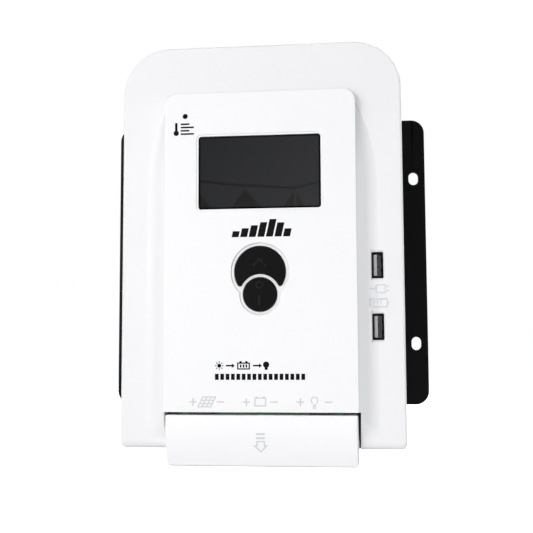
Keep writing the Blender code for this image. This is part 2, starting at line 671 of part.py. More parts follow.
# ---------------------------------------------------------------- display and keys

def display(glass, module, board):
    half, low, high = WINDOW_HALF_WIDTH - GAP, WINDOW_LOW + GAP, WINDOW_HIGH - GAP
    inner_face = CONSOLE_Y + WALL + GAP
    pane = join(box((-half, CONSOLE_Y + WINDOW_RECESS, low), (half, inner_face + 0.5 * MM, high)),
                box((-half - WINDOW_LIP, inner_face, low - WINDOW_LIP),
                    (half + WINDOW_LIP, inner_face + MM, high + WINDOW_LIP)))
    add_part(pane, "lcd_window", glass)
    add_part(box((-MODULE_HALF_WIDTH, inner_face + MM + GAP, MODULE_LOW),
                 (MODULE_HALF_WIDTH, DISPLAY_BOARD_FRONT - GAP, MODULE_HIGH)), "lcd_module", module)
    back = DISPLAY_BOARD_FRONT + BOARD_THICKNESS
    add_part(box((-DISPLAY_BOARD_HALF_WIDTH, DISPLAY_BOARD_FRONT, DISPLAY_BOARD_LOW),
                 (DISPLAY_BOARD_HALF_WIDTH, back, DISPLAY_BOARD_HIGH)), "display_board", board)


def key(name, cap_outline, flange_outline, material):
    """A key cap with a flange behind the console that keeps it in."""
    flange_front = CONSOLE_Y + WALL + GAP
    cap = join(flat_piece([cap_outline], CONSOLE_Y - BUTTON_PROUD, flange_front + 0.5 * MM),
               flat_piece([flange_outline], flange_front, BUTTON_BACK - GAP))
    centre = (BUTTON_X, CONSOLE_Y, UP_Z if name == "up_button" else POWER_Z)
    add_part(cap, name, material, centre)


def keys(material):
    grow = BUTTON_FLANGE
    key("up_button", crescent(UP_RADIUS, UP_INNER_RADIUS),
        crescent(UP_RADIUS + grow, UP_INNER_RADIUS - grow), material)
    key("power_button", circle(BUTTON_X, POWER_Z, POWER_RADIUS),
        circle(BUTTON_X, POWER_Z, POWER_RADIUS + grow), material)


def switches(body_material, plunger_material):
    for name, z in SWITCH_Z.items():
        half, front = SWITCH_HALF_WIDTH, DISPLAY_BOARD_FRONT - SWITCH_HEIGHT
        body = box((BUTTON_X - half, front, z - half),
                   (BUTTON_X + half, DISPLAY_BOARD_FRONT - GAP, z + half))
        bore = rod(BUTTON_X, z, SWITCH_BORE_RADIUS, front - MM, DISPLAY_BOARD_FRONT - SWITCH_FLOOR, 16)
        add_part(cut(body, bore), name + "_switch_body", body_material)
        plunger_back = DISPLAY_BOARD_FRONT - PLUNGER_STANDOFF
        plunger = rod(BUTTON_X, z, PLUNGER_RADIUS, BUTTON_BACK, plunger_back, 16)
        add_part(plunger, name + "_switch_plunger", plunger_material, (BUTTON_X, BUTTON_BACK, z))


def temperature_sensor(material):
    """A resin bead on a stiff stem, just behind its hole in the console."""
    stem, bead = SENSOR_STEM_RADIUS, SENSOR_BEAD_RADIUS
    length = DISPLAY_BOARD_FRONT - GAP - SENSOR_TIP
    profile = [(0.0, 0.0), (stem, 0.0), (stem, length - 2 * bead)]
    profile += [(bead * math.sin(math.radians(angle)), length - bead - bead * math.cos(math.radians(angle)))
                for angle in range(45, 180, 15)]
    profile.append((0.0, length))
    profile.reverse()
    add_part(turned(profile, (SENSOR_X, DISPLAY_BOARD_FRONT - GAP, SENSOR_Z), 12), "temp_sensor", material)


# ---------------------------------------------------------------- USB

def usb_sockets(metal, insulator, board):
    for name, z in USB_Z.items():
        half_x, half_z = USB_SHELL_HALF
        shell = box((USB_X - half_x, USB_SHELL_FRONT, z - half_z),
                    (USB_X + half_x, USB_SHELL_BACK, z + half_z))
        hollow = box((USB_X - half_x + USB_SHEET, USB_SHELL_FRONT - MM, z - half_z + USB_SHEET),
                     (USB_X + half_x - USB_SHEET, USB_SHELL_BACK - USB_SHEET, z + half_z - USB_SHEET))
        add_part(cut(shell, hollow), "usb_shell_" + name, metal)
        room_x, room_z = half_x - USB_SHEET - GAP, half_z - USB_SHEET - GAP
        block_front = USB_SHELL_BACK - USB_BLOCK_DEPTH
        block = box((USB_X - room_x, block_front, z - room_z),
                    (USB_X + room_x, USB_SHELL_BACK - USB_SHEET - GAP, z + room_z))
        left, half_height = USB_X - room_x + 0.1 * MM, USB_TONGUE_HALF_HEIGHT
        tongue = box((left, USB_SHELL_FRONT + USB_TONGUE_SETBACK, z - half_height),
                     (left + USB_TONGUE_THICKNESS, block_front + 0.4 * MM, z + half_height))
        add_part(join(block, tongue), "usb_tongue_" + name, insulator)
    front = USB_SHELL_BACK + GAP
    carrier = box((USB_X - USB_BOARD_HALF_WIDTH, front, USB_BOARD_LOW),
                  (USB_X + USB_BOARD_HALF_WIDTH, front + BOARD_THICKNESS, USB_BOARD_HIGH))
    add_part(carrier, "usb_board", board)


# ---------------------------------------------------------------- terminals

def terminal_positions():
    middle = (TERMINAL_COUNT - 1) / 2
    return [(index - middle) * TERMINAL_PITCH for index in range(TERMINAL_COUNT)]


def terminal_block(material):
    block = box((-BLOCK_HALF_WIDTH, BLOCK_FRONT, BLOCK_BOTTOM), (BLOCK_HALF_WIDTH, BLOCK_BACK, BLOCK_TOP))
    cutters = []
    for x in terminal_positions():
        cutters.append(box((x - CELL_HALF_WIDTH, CELL_FRONT, BLOCK_BOTTOM - MM),
                           (x + CELL_HALF_WIDTH, CELL_BACK, CELL_TOP)))
        cutters.append(rod(x, SCREW_Z, SCREW_HOLE_RADIUS, BLOCK_FRONT - MM, CELL_FRONT + MM, 20))
        cutters.append(box((x - BAR_HALF_WIDTH - GAP, BAR_FRONT - GAP, CELL_TOP - MM),
                           (x + BAR_HALF_WIDTH + GAP, BAR_BACK + GAP, BLOCK_TOP + MM)))
    add_part(cut(block, *cutters), "terminal_block", material)


def terminal_hardware(screw_metal, cage_metal, bar_metal):
    """For each pole a slotted screw, the cage it draws forwards and the copper bar to the board."""
    for number, x in enumerate(terminal_positions(), 1):
        head = rod(x, SCREW_Z, SCREW_HEAD_RADIUS, SCREW_HEAD_FRONT, SCREW_HEAD_BACK, 20)
        shank = rod(x, SCREW_Z, SCREW_SHANK_RADIUS, SCREW_HEAD_BACK - 0.5 * MM, SCREW_TIP, 16)
        cross = []
        for a, b in ((CROSS_HALF_LENGTH, CROSS_HALF_WIDTH), (CROSS_HALF_WIDTH, CROSS_HALF_LENGTH)):
            cross.append(box((x - a, SCREW_HEAD_FRONT - MM, SCREW_Z - b),
                             (x + a, SCREW_HEAD_FRONT + CROSS_DEPTH, SCREW_Z + b)))
        axis_point = (x, SCREW_HEAD_FRONT, SCREW_Z)
        add_part(cut(join(head, shank), *cross), f"terminal_screw_{number}", screw_metal, axis_point)
        cage = box((x - CAGE_HALF_WIDTH, CAGE_FRONT, SCREW_Z - CAGE_HALF_HEIGHT),
                   (x + CAGE_HALF_WIDTH, CAGE_BACK, SCREW_Z + CAGE_HALF_HEIGHT))
        inside, reach = CAGE_HALF_WIDTH - CAGE_WALL, CAGE_HALF_HEIGHT + MM
        inner_front = CAGE_FRONT + CAGE_THREAD_WALL
        window = box((x - inside, inner_front, SCREW_Z - reach),
                     (x + inside, CAGE_BACK - CAGE_WALL, SCREW_Z + reach))
        hole = rod(x, SCREW_Z, SCREW_SHANK_RADIUS + GAP, CAGE_FRONT - MM, inner_front + MM, 16)
        add_part(cut(cage, window, hole), f"clamp_cage_{number}", cage_metal, (x, CAGE_FRONT, SCREW_Z))
        add_part(box((x - BAR_HALF_WIDTH, BAR_FRONT, BAR_BOTTOM), (x + BAR_HALF_WIDTH, BAR_BACK, BAR_TOP)),
                 f"current_bar_{number}", bar_metal)


# ---------------------------------------------------------------- electronics

def main_board(material):
    half, top = MAIN_BOARD_HALF_WIDTH, MAIN_BOARD_TOP
    step_x, step_z = half - MAIN_BOARD_SHOULDER, top - 2 * MAIN_BOARD_SHOULDER
    right = [(half, MAIN_BOARD_BOTTOM), (half, step_z), (step_x, step_z), (step_x, top)]
    outline = right + [(-x, z) for x, z in reversed(right)]
    back = MAIN_BOARD_FRONT + BOARD_THICKNESS
    holes = [circle(x, z, BOARD_HOLE_RADIUS, 12) for x, z in BOARD_SCREW_SPOTS]
    add_part(flat_piece([outline] + holes, MAIN_BOARD_FRONT, back), "main_board", material)


def mosfets(material):
    """Four flat transistors with their backs and tabs against the heat spreader."""
    back = SPREADER_FRONT - GAP
    front = back - MOSFET_THICKNESS
    for number, x in enumerate(MOSFET_X, 1):
        low, high = x - MOSFET_HALF_WIDTH, x + MOSFET_HALF_WIDTH
        body = box((low, front, MOSFET_LOW), (high, back, MOSFET_BODY_HIGH))
        tab = box((low, back - MOSFET_TAB_THICKNESS, MOSFET_BODY_HIGH - MM), (high, back, MOSFET_TAB_HIGH))
        hole = rod(x, MOSFET_HOLE_Z, THREAD_RADIUS, front, back + MM, 12)
        add_part(cut(join(body, tab), hole), f"mosfet_{number}", material)


def capacitors(material):
    """Upright cans with a crimped groove above their base."""
    rim, height, chamfer = CAPACITOR_RADIUS, CAPACITOR_HEIGHT, CAPACITOR_CHAMFER
    base, waist = CAPACITOR_BASE, CAPACITOR_RADIUS - CAPACITOR_GROOVE
    profile = [(0.0, height), (rim - chamfer, height), (rim, height - chamfer), (rim, base),
               (waist, base - chamfer), (rim, base - 2 * chamfer), (rim, chamfer / 2),
               (rim - chamfer / 2, 0.0), (0.0, 0.0)]
    for number, x in enumerate(CAPACITOR_X, 1):
        can = turned(profile, (x, MAIN_BOARD_FRONT - GAP, CAPACITOR_Z), 24)
        add_part(can, f"capacitor_{number}", material)


def inductor(core_material, wire_material):
    """A ferrite ring standing flat on the main board, wound with one heavy wire."""
    half = INDUCTOR_SECTION
    reach = half / 2 + GAP + WIRE_RADIUS
    middle = MAIN_BOARD_FRONT - GAP - half - GAP - 2 * WIRE_RADIUS
    inner, outer = INDUCTOR_RADIUS - half / 2, INDUCTOR_RADIUS + half / 2
    profile = [(inner, -half), (outer, -half), (outer, half), (inner, half)]
    profile.append(profile[0])
    profile.reverse()
    add_part(turned(profile, (0.0, middle, INDUCTOR_Z), 32), "inductor_core", core_material)
    add_part(winding(middle, reach, half + GAP + WIRE_RADIUS), "inductor_winding", wire_material)


def winding(middle, reach, rise):
    """One wire wound round the core's square section, as a polyline with its turns cut square."""
    curve = bpy.data.curves.new("winding", "CURVE")
    curve.dimensions = "3D"
    curve.bevel_depth = WIRE_RADIUS
    curve.bevel_resolution = 2
    curve.use_fill_caps = True
    count = WINDING_TURNS * POINTS_PER_TURN
    spline = curve.splines.new("POLY")
    spline.points.add(count)
    for i, point in enumerate(spline.points):
        turn = 2 * math.pi * i / POINTS_PER_TURN
        around = math.radians(WINDING_START + WINDING_SWEEP * i / count)
        across = max(-1.0, min(1.0, math.cos(turn) / WINDING_SQUARENESS))
        along = max(-1.0, min(1.0, math.sin(turn) / WINDING_SQUARENESS))
        radius = INDUCTOR_RADIUS + reach * across
        point.co = (radius * math.cos(around), middle + rise * along,
                    INDUCTOR_Z + radius * math.sin(around), 1.0)
    return mesh_from_curve(bpy.data.objects.new("winding", curve))


def fuse(material):
    """A blade fuse standing on the main board."""
    back = MAIN_BOARD_FRONT - GAP
    body_back = back - FUSE_BODY_STANDOFF
    body = box((FUSE_LOW[0], back - FUSE_HEIGHT, FUSE_LOW[1]), (FUSE_HIGH[0], body_back, FUSE_HIGH[1]))
    middle = (FUSE_LOW[1] + FUSE_HIGH[1]) / 2
    half = FUSE_BLADE_HALF_THICKNESS
    blades = [box((x, body_back - MM, middle - half), (x + FUSE_BLADE_WIDTH, back, middle + half))
              for x in FUSE_BLADE_X]
    add_part(join(body, *blades), "blade_fuse", material)


def ribbon(material):
    """Flat cable from the display board back to the main board, bent twice."""
    start = DISPLAY_BOARD_FRONT + BOARD_THICKNESS + GAP + RIBBON_HALF_THICKNESS
    end = MAIN_BOARD_FRONT - GAP - RIBBON_HALF_THICKNESS
    bend = RIBBON_BEND
    path = [(start, RIBBON_TOP)]
    path += arc((start + bend, RIBBON_TURN), bend, 180, 270, 5)
    path += arc((end - bend, RIBBON_TURN - 2 * bend), bend, 90, 0, 5)
    path.append((end, RIBBON_BOTTOM))
    add_part(strip(path, -RIBBON_HALF_WIDTH, RIBBON_HALF_WIDTH, 2 * RIBBON_HALF_THICKNESS),
             "display_ribbon", material)


def slotted_screw(name, x, z, seat, tip, shank_radius, material):
    """A screw along Y: its head stands on the seat plane, on the side away from its tip."""
    away = math.copysign(1.0, seat - tip)
    radius, height = SCREW_HEAD
    half_length, half_width, depth = SCREW_RECESS
    top = seat + away * height
    low, high = sorted((seat, top))
    head = rod(x, z, radius, low, high, 16)
    low, high = sorted((tip, seat + away * height / 2))
    shank = rod(x, z, shank_radius, low, high, 12)
    low, high = sorted((top - away * depth, top + away * MM))
    recess = box((x - half_length, low, z - half_width), (x + half_length, high, z + half_width))
    add_part(cut(join(head, shank), recess), name, material, (x, seat, z))


def fasteners(material):
    for number, (x, z) in enumerate(CASE_SCREW_SPOTS, 1):
        slotted_screw(f"case_screw_{number}", x, z, REAR_SHELL_BACK + GAP, CASE_SCREW_TIP,
                      CASE_SHANK_RADIUS, material)
    for number, (x, z) in enumerate(BOARD_SCREW_SPOTS, 1):
        slotted_screw(f"board_screw_{number}", x, z, MAIN_BOARD_FRONT - GAP, BOARD_SCREW_TIP,
                      BOARD_SHANK_RADIUS, material)


def build():
    clear_scene()
    white = make_material("white_abs", (0.86, 0.87, 0.87), 0.45)
    black_metal = make_material("black_anodised", (0.012, 0.012, 0.013), 0.5, 0.3)
    rubber = make_material("key_black", (0.02, 0.02, 0.02), 0.6)
    glass = make_material("display_glass", (0.03, 0.03, 0.032), 0.08)
    dark_plastic = make_material("dark_plastic", (0.04, 0.04, 0.045), 0.5)
    green = make_material("terminal_green", (0.06, 0.35, 0.16), 0.5)
    board = make_material("board_green", (0.02, 0.16, 0.07), 0.4)
    steel = make_material("plated_steel", (0.62, 0.62, 0.62), 0.3, 1.0)
    copper = make_material("copper", (0.72, 0.35, 0.2), 0.3, 1.0)
    aluminium = make_material("bare_aluminium", (0.72, 0.73, 0.74), 0.35, 1.0)
    ceramic = make_material("ferrite", (0.1, 0.1, 0.11), 0.7)
    light_plastic = make_material("light_plastic", (0.7, 0.7, 0.68), 0.5)

    heatsink(black_metal)
    heat_spreader(aluminium)
    rear_shell(white)
    front_shell(white)
    terminal_cover(white)
    display(glass, dark_plastic, board)
    keys(rubber)
    switches(dark_plastic, light_plastic)
    temperature_sensor(dark_plastic)
    usb_sockets(steel, light_plastic, board)
    terminal_block(green)
    terminal_hardware(steel, steel, copper)
    main_board(board)
    mosfets(dark_plastic)
    capacitors(dark_plastic)
    inductor(ceramic, copper)
    fuse(light_plastic)
    ribbon(light_plastic)
    fasteners(steel)


build()
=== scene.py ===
"""The looks of a wall-mounted solar charge controller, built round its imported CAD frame.

Metres, with X to the right seen from the front, Z up and the front facing -Y.
"""

import math

import bmesh
import bpy
from mathutils import Matrix, Vector


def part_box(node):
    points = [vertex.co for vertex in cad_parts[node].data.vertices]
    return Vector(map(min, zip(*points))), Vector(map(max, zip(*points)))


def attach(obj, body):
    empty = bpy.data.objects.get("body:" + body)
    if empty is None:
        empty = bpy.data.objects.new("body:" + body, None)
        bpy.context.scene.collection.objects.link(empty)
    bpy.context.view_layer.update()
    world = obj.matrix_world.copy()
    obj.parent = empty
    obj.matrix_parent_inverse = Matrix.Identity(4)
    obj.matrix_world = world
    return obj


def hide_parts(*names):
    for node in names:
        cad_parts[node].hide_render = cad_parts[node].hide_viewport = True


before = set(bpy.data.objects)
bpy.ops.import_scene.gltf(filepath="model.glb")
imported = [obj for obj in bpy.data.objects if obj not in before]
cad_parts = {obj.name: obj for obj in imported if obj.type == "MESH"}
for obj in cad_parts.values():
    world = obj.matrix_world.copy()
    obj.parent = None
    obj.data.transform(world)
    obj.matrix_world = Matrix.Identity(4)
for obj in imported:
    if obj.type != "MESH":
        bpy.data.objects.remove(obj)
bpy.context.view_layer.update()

MM = 0.001
GAP = 0.3 * MM
WALL = 2.5 * MM
SHARP_ANGLE = 32
BEVEL_ANGLE = 35

# Driving sizes read from the frame
SHELL_LOW, SHELL_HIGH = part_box("front_shell")
REAR_LOW, REAR_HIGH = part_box("rear_shell")
COVER_LOW, COVER_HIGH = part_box("terminal_cover")
SINK_LOW, SINK_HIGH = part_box("heatsink")
WINDOW_LOW, WINDOW_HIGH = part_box("lcd_window")
UP_LOW, UP_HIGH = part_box("up_button")
POWER_LOW, POWER_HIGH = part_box("power_button")
BLOCK_LOW, BLOCK_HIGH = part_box("terminal_block")
SENSOR = sum(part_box("temp_sensor"), Vector()) / 2

# Body
CONSOLE_Y = SHELL_LOW.y
PLATE_Y = CONSOLE_Y + 6.5 * MM
PARTING_Y = SHELL_HIGH.y
BODY_HALF_WIDTH = SHELL_HIGH.x
BODY_TOP, BODY_BOTTOM = SHELL_HIGH.z, SHELL_LOW.z
BODY_TOP_CORNER = 25.0 * MM
BODY_BOTTOM_CORNER = 2.5 * MM
SIDE_RIM = 1.3 * MM
BOTTOM_RIM = 4.0 * MM
SIDE_DRAFT = 1.0 * MM
REAR_INSET = 2.0 * MM
REAR_DRAFT = 2.0 * MM
REAR_WALL_FRONT = REAR_HIGH.y - WALL
BOSS_RADIUS = 3.6 * MM
BOSS_HOLE_RADIUS = 1.7 * MM

# Terminal cover and its compartment
COVER_TOP = COVER_HIGH.z - 4.9 * MM  # its hooks reach higher
COVER_BOTTOM = COVER_LOW.z + 0.5 * MM
COVER_HALF_WIDTH = COVER_HIGH.x - 0.95 * MM
COVER_SHIFT = 0.3 * MM  # it sits a little to the right in its notch
COVER_BACK_Y = COVER_HIGH.y
COVER_DRAFT = 0.35 * MM
COVER_WALL = 2.2 * MM
COVER_CURVE_START = COVER_TOP - 1.1 * MM
COVER_CURVE_BACK = 6.0 * MM
COVER_CURVE_POWER = 2.3
COVER_TOP_EDGE = 0.4 * MM
COVER_LOW_EDGE = 2.0 * MM
COVER_SIDE_ROUND = 1.1 * MM
COVER_CORNER = 2.2 * MM  # lower corners of its face
COVER_FACE_STEPS = 28
COVER_INSETS = [inset * MM for inset in (0.0, 0.04, 0.15, 0.35, 0.6, 0.85, 1.1, 1.5, 2.2)]
HOOK_X = 30.0 * MM
HOOK_HALF_WIDTH = 5.0 * MM
HOOK_FRONT = CONSOLE_Y + 3.0 * MM
HOOK_BACK = CONSOLE_Y + 4.8 * MM
SEAM_TOP = COVER_TOP + 1.45 * MM
NOTCH_RIGHT = COVER_HALF_WIDTH + COVER_SHIFT + 1.4 * MM
NOTCH_LEFT = -COVER_HALF_WIDTH + COVER_SHIFT - 0.45 * MM
NOTCH_ROUND = 0.8 * MM
NOTCH_LEAN = 0.35 * MM  # its right edge comes in by this much towards the bottom
NOTCH_HALF_WIDTH = COVER_HIGH.x + 1.4 * MM
CHEEK = 2.0 * MM
# Dark strips that paint shade into the gaps beside the cover
SHADE_STRIP_CLEAR = 0.35 * MM
SHADE_STRIP_FRONT, SHADE_STRIP_BACK = PARTING_Y - 11.0 * MM, PARTING_Y - 9.0 * MM

# Console
CONSOLE_HALF_WIDTH = COVER_HIGH.x
CONSOLE_TOP = SEAM_TOP + 166.55 * MM
CONSOLE_CORNER = 6.5 * MM
CONSOLE_EDGE = 0.6 * MM  # rounding of the edge round its face
CONSOLE_FOOT = PLATE_Y + 0.05 * MM
FLARE_WIDTH = 11.8 * MM
FLARE_BEND = 0.58  # the foot begins at this share of the depth
FLARE_TURN = 0.64  # the slope would reach the full depth at this share of the width
FLARE_MIN = 0.4 * MM
FLARE_STRAIGHT_STEPS = 6
FLARE_STEPS = 16
FLARE_START = CONSOLE_TOP - CONSOLE_CORNER
FLARE_GROWTH = 40.0 * MM  # the flare has its full width this far below the upper corner
FLARE_SETTLE = 35.0 * MM  # and its usual section this far below
FADE_START = SEAM_TOP - 3.3 * MM
FADE_END = SEAM_TOP - 15.3 * MM
FADE_STEPS = 8
SIDE_STEPS = 17
RING_DROP = 0.02 * MM  # keeps the lower ends of the console's rings apart
FADE_LEVELS = [FADE_END + (FADE_START - FADE_END) * i / FADE_STEPS for i in range(FADE_STEPS + 1)]
CONSOLE_LEVELS = FADE_LEVELS + [FLARE_START - (FLARE_START - FADE_START) * (1 - i / SIDE_STEPS) ** 2
                                for i in range(1, SIDE_STEPS + 1)]

# Display
WINDOW_LIP = 2.5 * MM
LENS_LOW = Vector((WINDOW_LOW.x + WINDOW_LIP, WINDOW_LOW.z + WINDOW_LIP))
LENS_HIGH = Vector((WINDOW_HIGH.x - WINDOW_LIP, WINDOW_HIGH.z - WINDOW_LIP))
LENS_FRONT = WINDOW_LOW.y
LENS_CORNER = 1.2 * MM
FRAME_WIDTH = 0.75 * MM  # flat step round the display
FRAME_SLOPE = 0.4 * MM
FRAME_DEPTH = 0.45 * MM

# Keys
KEY_FLANGE = 0.8 * MM
KEY_X = (UP_LOW.x + UP_HIGH.x) / 2
KEY_FRONT, KEY_BACK = UP_LOW.y, UP_HIGH.y
UP_RADIUS = (UP_HIGH.x - UP_LOW.x) / 2 - KEY_FLANGE
UP_Z = UP_HIGH.z - KEY_FLANGE - UP_RADIUS
UP_INNER_RADIUS = UP_RADIUS - 2.2 * MM
UP_TIP = 0.9 * MM
POWER_RADIUS = (POWER_HIGH.x - POWER_LOW.x) / 2 - KEY_FLANGE
POWER_Z = (POWER_LOW.z + POWER_HIGH.z) / 2
KEY_CLEARANCE = 0.35 * MM
KEY_EDGE = 0.55 * MM
KEY_RING_SLOPE = 0.55 * MM
KEY_RING_FLOOR = 2.1 * MM - KEY_RING_SLOPE  # flat width of the recess round the keys
KEY_RING_DEPTH = 0.8 * MM
KEY_MOUTH_EDGE = 0.2 * MM
FLANGE_FRONT = CONSOLE_Y + WALL + GAP  # front of what is kept in by the console's wall
SENSOR_HOLE_RADIUS = 1.35 * MM
SENSOR_SEAT_RADIUS = 2.6 * MM

# USB sockets
USB_NAMES = ("upper", "lower")
USB_SHEET = 0.35 * MM
USB_FUNNEL = 0.8 * MM
USB_CORNER = 0.6 * MM
TONGUE_HALF_HEIGHT = 5.55 * MM
CONTACT_OFFSETS = (-3.5 * MM, -1.0 * MM, 1.0 * MM, 3.5 * MM)
CONTACT_HALF_WIDTH = 0.5 * MM
CONTACT_RISE = 0.5 * MM
SPRING_OFFSETS = (-2.6 * MM, 2.6 * MM)
SPRING_HALF_WIDTH = 0.9 * MM

# Heat sink
FLANGE_THICKNESS = 3.0 * MM
FLANGE_CORNER = 7.5 * MM
BASE_HALF_WIDTH = 66.0 * MM
BASE_PLATE_BACK = SINK_LOW.y + 5.0 * MM
FIN_COUNT_PER_SIDE = 6
FIN_PITCH = 9.6 * MM
FIN_THICKNESS = 1.8 * MM
FIN_SETBACK = 0.5 * MM
CENTRE_RIB = 8.0 * MM
EDGE_RIB = 3.0 * MM
SLOT_X = SINK_HIGH.x - 6.5 * MM
SLOT_Z = 47.0 * MM
SLOT_WIDTH = 5.4 * MM
SLOT_LENGTH = 7.4 * MM
SIGNS = ((-1, -1), (-1, 1), (1, -1), (1, 1))

# Screws
POLE_SHANK_RADIUS = 2.4 * MM
POLE_HEAD = 2.4 * MM
POLE_PITCH = 0.8 * MM
HOUSING_SHANK_RADIUS = 1.3 * MM
HOUSING_HEAD = 2.2 * MM

# Marks
INK_RISE = 0.06 * MM
KEY_RISE = 0.42 * MM
RELIEF_RISE = 0.3 * MM
STRIPE_RISE = 0.28 * MM
MARK_ROOT = 0.1 * MM  # how far a mark reaches into the face that it stands on
POLE_PAIR_PITCH = 27.5 * MM
POWER_CURVE = (0.34, 0.50, 0.66, 0.83, 1.0, 0.80, 0.45)

# Stage
FLOOR_Z = COVER_BOTTOM - 40.0 * MM  # leaves room for the cover to slide down
FLOOR_REACH = 12.0
FLOOR_GLOW = 0.66
WORLD_LIGHT = 0.30
WORLD_TINT = (0.88, 0.925, 1.0, 1.0)
LAMP_TINT = (1.0, 0.985, 0.975)
FRONT_REFLECTION = 0.4
BACK_REFLECTION = 1.0
MIDDLE = (0.0, -0.04, 0.0)
LAMPS = (  # name, place, target, size and power
    ("key", (-2.0, -2.95, 0.65), MIDDLE, 2.6, 57.5),
    ("top", (0.0, -1.2, 1.5), (0.0, -0.5, FLOOR_Z), 1.0, 6.0),
    ("low", (-0.08, -0.78, -0.085), (0.0, -0.058, -0.06), 0.5, 1.6),
    ("side", (1.9, 1.1, 0.4), MIDDLE, 0.9, 14.0),
    ("back", (0.5, 1.3, 0.9), MIDDLE, 0.9, 15.0),
)
LOW_LAMP_HEIGHT = 0.15
CAMERA_PLACE = (0.0509, -0.5000, -0.0471)
CAMERA_LENS = 58.7
CAMERA_SENSOR = 36.0
CAMERA_YAW = 6.095
CAMERA_PITCH = 5.115
CAMERA_ROLL = -0.239

# Cards mirrored in the display: outlines in shares of its width and of its height from the top
CARD_Y = -1.0
CARD_REACH = (LENS_FRONT - CARD_Y) / (LENS_FRONT - CAMERA_PLACE[1])
CARD_GLOW = 0.12
CARD_OUTLINES = (
    ((0.0, 0.590), (0.30, 0.655), (0.78, 0.715), (1.0, 0.645), (1.0, 0.675), (0.78, 0.755), (0.30, 0.695),
     (0.0, 0.628)),
    ((-0.02, 0.72), (0.115, 1.02), (-0.02, 1.02)),
    ((0.385, 0.735), (0.525, 1.02), (0.245, 1.02)),
    ((0.785, 0.780), (0.785, 1.02), (0.68, 1.02)),
    ((0.805, 0.780), (0.875, 1.02), (0.805, 1.02)),
)


# ---------------------------------------------------------------- outlines

def arc(centre, radius, start, end, steps):
    """Points on an arc from start to end in degrees, both ends included."""
    points = []
    for i in range(steps + 1):
        angle = math.radians(start + (end - start) * i / steps)
        points.append((centre[0] + radius * math.cos(angle), centre[1] + radius * math.sin(angle)))
    return points


def circle(x, z, radius, steps=48):
    return arc((x, z), radius, 0, 360 * (steps - 1) / steps, steps - 1)


def rounded_rectangle(low, high, low_radius, high_radius=None, low_steps=5, high_steps=5):
    """Anticlockwise outline between two corners. Its upper end may have a radius of its own."""
    a, b = low_radius, high_radius or low_radius
    points = arc((high[0] - a, low[1] + a), a, -90, 0, low_steps)
    points += arc((high[0] - b, high[1] - b), b, 0, 90, high_steps)
    points += arc((low[0] + b, high[1] - b), b, 90, 180, high_steps)
    return points + arc((low[0] + a, low[1] + a), a, 180, 270, low_steps)


def bar(start, end, width):
    """A straight stroke between two points."""
    start, end = Vector(start), Vector(end)
    along = (end - start).normalized() * width / 2
    across = Vector((-along.y, along.x))
    return [tuple(corner) for corner in (start - across, end - across, end + across, start + across)]


def block(x, z, width, height, lean=0.0):
    """A rectangle from its lower left corner, or a parallelogram that leans to the right."""
    return [(x, z), (x + width, z), (x + width + lean, z + height), (x + lean, z + height)]


def offset_outline(points, distance):
    """An anticlockwise outline grown by a distance, with mitred corners."""
    points = [Vector(point) for point in points]
    grown = []
    for before, point, after in zip(points[-1:] + points[:-1], points, points[1:] + points[:1]):
        a = (point - before).normalized()
        b = (after - point).normalized()
        normal_a, normal_b = Vector((a.y, -a.x)), Vector((b.y, -b.x))
        grown.append(tuple(point + (normal_a + normal_b) * distance / (1 + normal_a.dot(normal_b))))
    return grown


def crossing(outer, inner):
    """Half width and height over the power key's centre where discs round the two keys' centres cross."""
    gap = UP_Z - POWER_Z
    rise = (inner ** 2 - outer ** 2 + gap ** 2) / (2 * gap)
    half = math.sqrt(inner ** 2 - rise ** 2)
    angles = [math.degrees(math.atan2(height, half)) for height in (rise - gap, rise)]
    return half, rise, *angles


def crescent(outer, inner, tip):
    """A disc round the up key's centre less a disc round the power key's centre, with rounded tips."""
    half, rise, outer_angle, inner_angle = crossing(outer - tip, inner + tip)
    z = POWER_Z + rise
    points = arc((KEY_X, UP_Z), outer, outer_angle, 180 - outer_angle, 64)
    points += arc((KEY_X - half, z), tip, 180 - outer_angle, 360 - inner_angle, 10)[1:]
    points += arc((KEY_X, POWER_Z), inner, 180 - inner_angle, inner_angle, 40)[1:]
    return points + arc((KEY_X + half, z), tip, 180 + inner_angle, 360 + outer_angle, 10)[1:-1]


def two_discs(outer, inner):
    """The outline of both keys' discs together."""
    _, _, upper, lower = crossing(outer, inner)
    points = arc((KEY_X, UP_Z), outer, upper, 180 - upper, 64)
    return points + arc((KEY_X, POWER_Z), inner, 180 - lower, 360 + lower, 48)[1:-1]


def quarter_round(radius, steps):
    """How far a rounded edge stands in and how deep it is, step by step from the face to the side."""
    angles = [math.radians(90 * i / steps) for i in range(steps + 1)]
    return [(radius * (1 - math.sin(angle)), radius * (1 - math.cos(angle))) for angle in angles]


def rim_inset(depth, radius):
    """How far a rounded rim of that radius stands in, at a depth behind its flat face."""
    if depth >= radius:
        return 0.0
    return radius - math.sqrt(radius ** 2 - (radius - depth) ** 2)


def smooth_step(value, start, end):
    share = min(1.0, max(0.0, (value - start) / (end - start)))
    return share * share * (3 - 2 * share)


def at_depth(outline, y):
    return [(x, y, z) for x, z in outline]


# ---------------------------------------------------------------- meshes

def centre_of(node):
    return sum(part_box(node), Vector()) / 2


def mesh_from_bmesh(bm):
    bmesh.ops.recalc_face_normals(bm, faces=bm.faces)
    mesh = bpy.data.meshes.new("piece")
    bm.to_mesh(mesh)
    bm.free()
    return mesh


def new_object(name, data):
    obj = bpy.data.objects.new(name, data)
    bpy.context.scene.collection.objects.link(obj)
    return obj


def stitch(bm, rings):
    """The walls between rings of the same number of points. Gives the rings' vertices back."""
    layers = [[bm.verts.new(point) for point in ring] for ring in rings]
    for lower, upper in zip(layers, layers[1:]):
        for i in range(len(lower)):
            bm.faces.new((lower[i - 1], lower[i], upper[i], upper[i - 1]))
    return layers


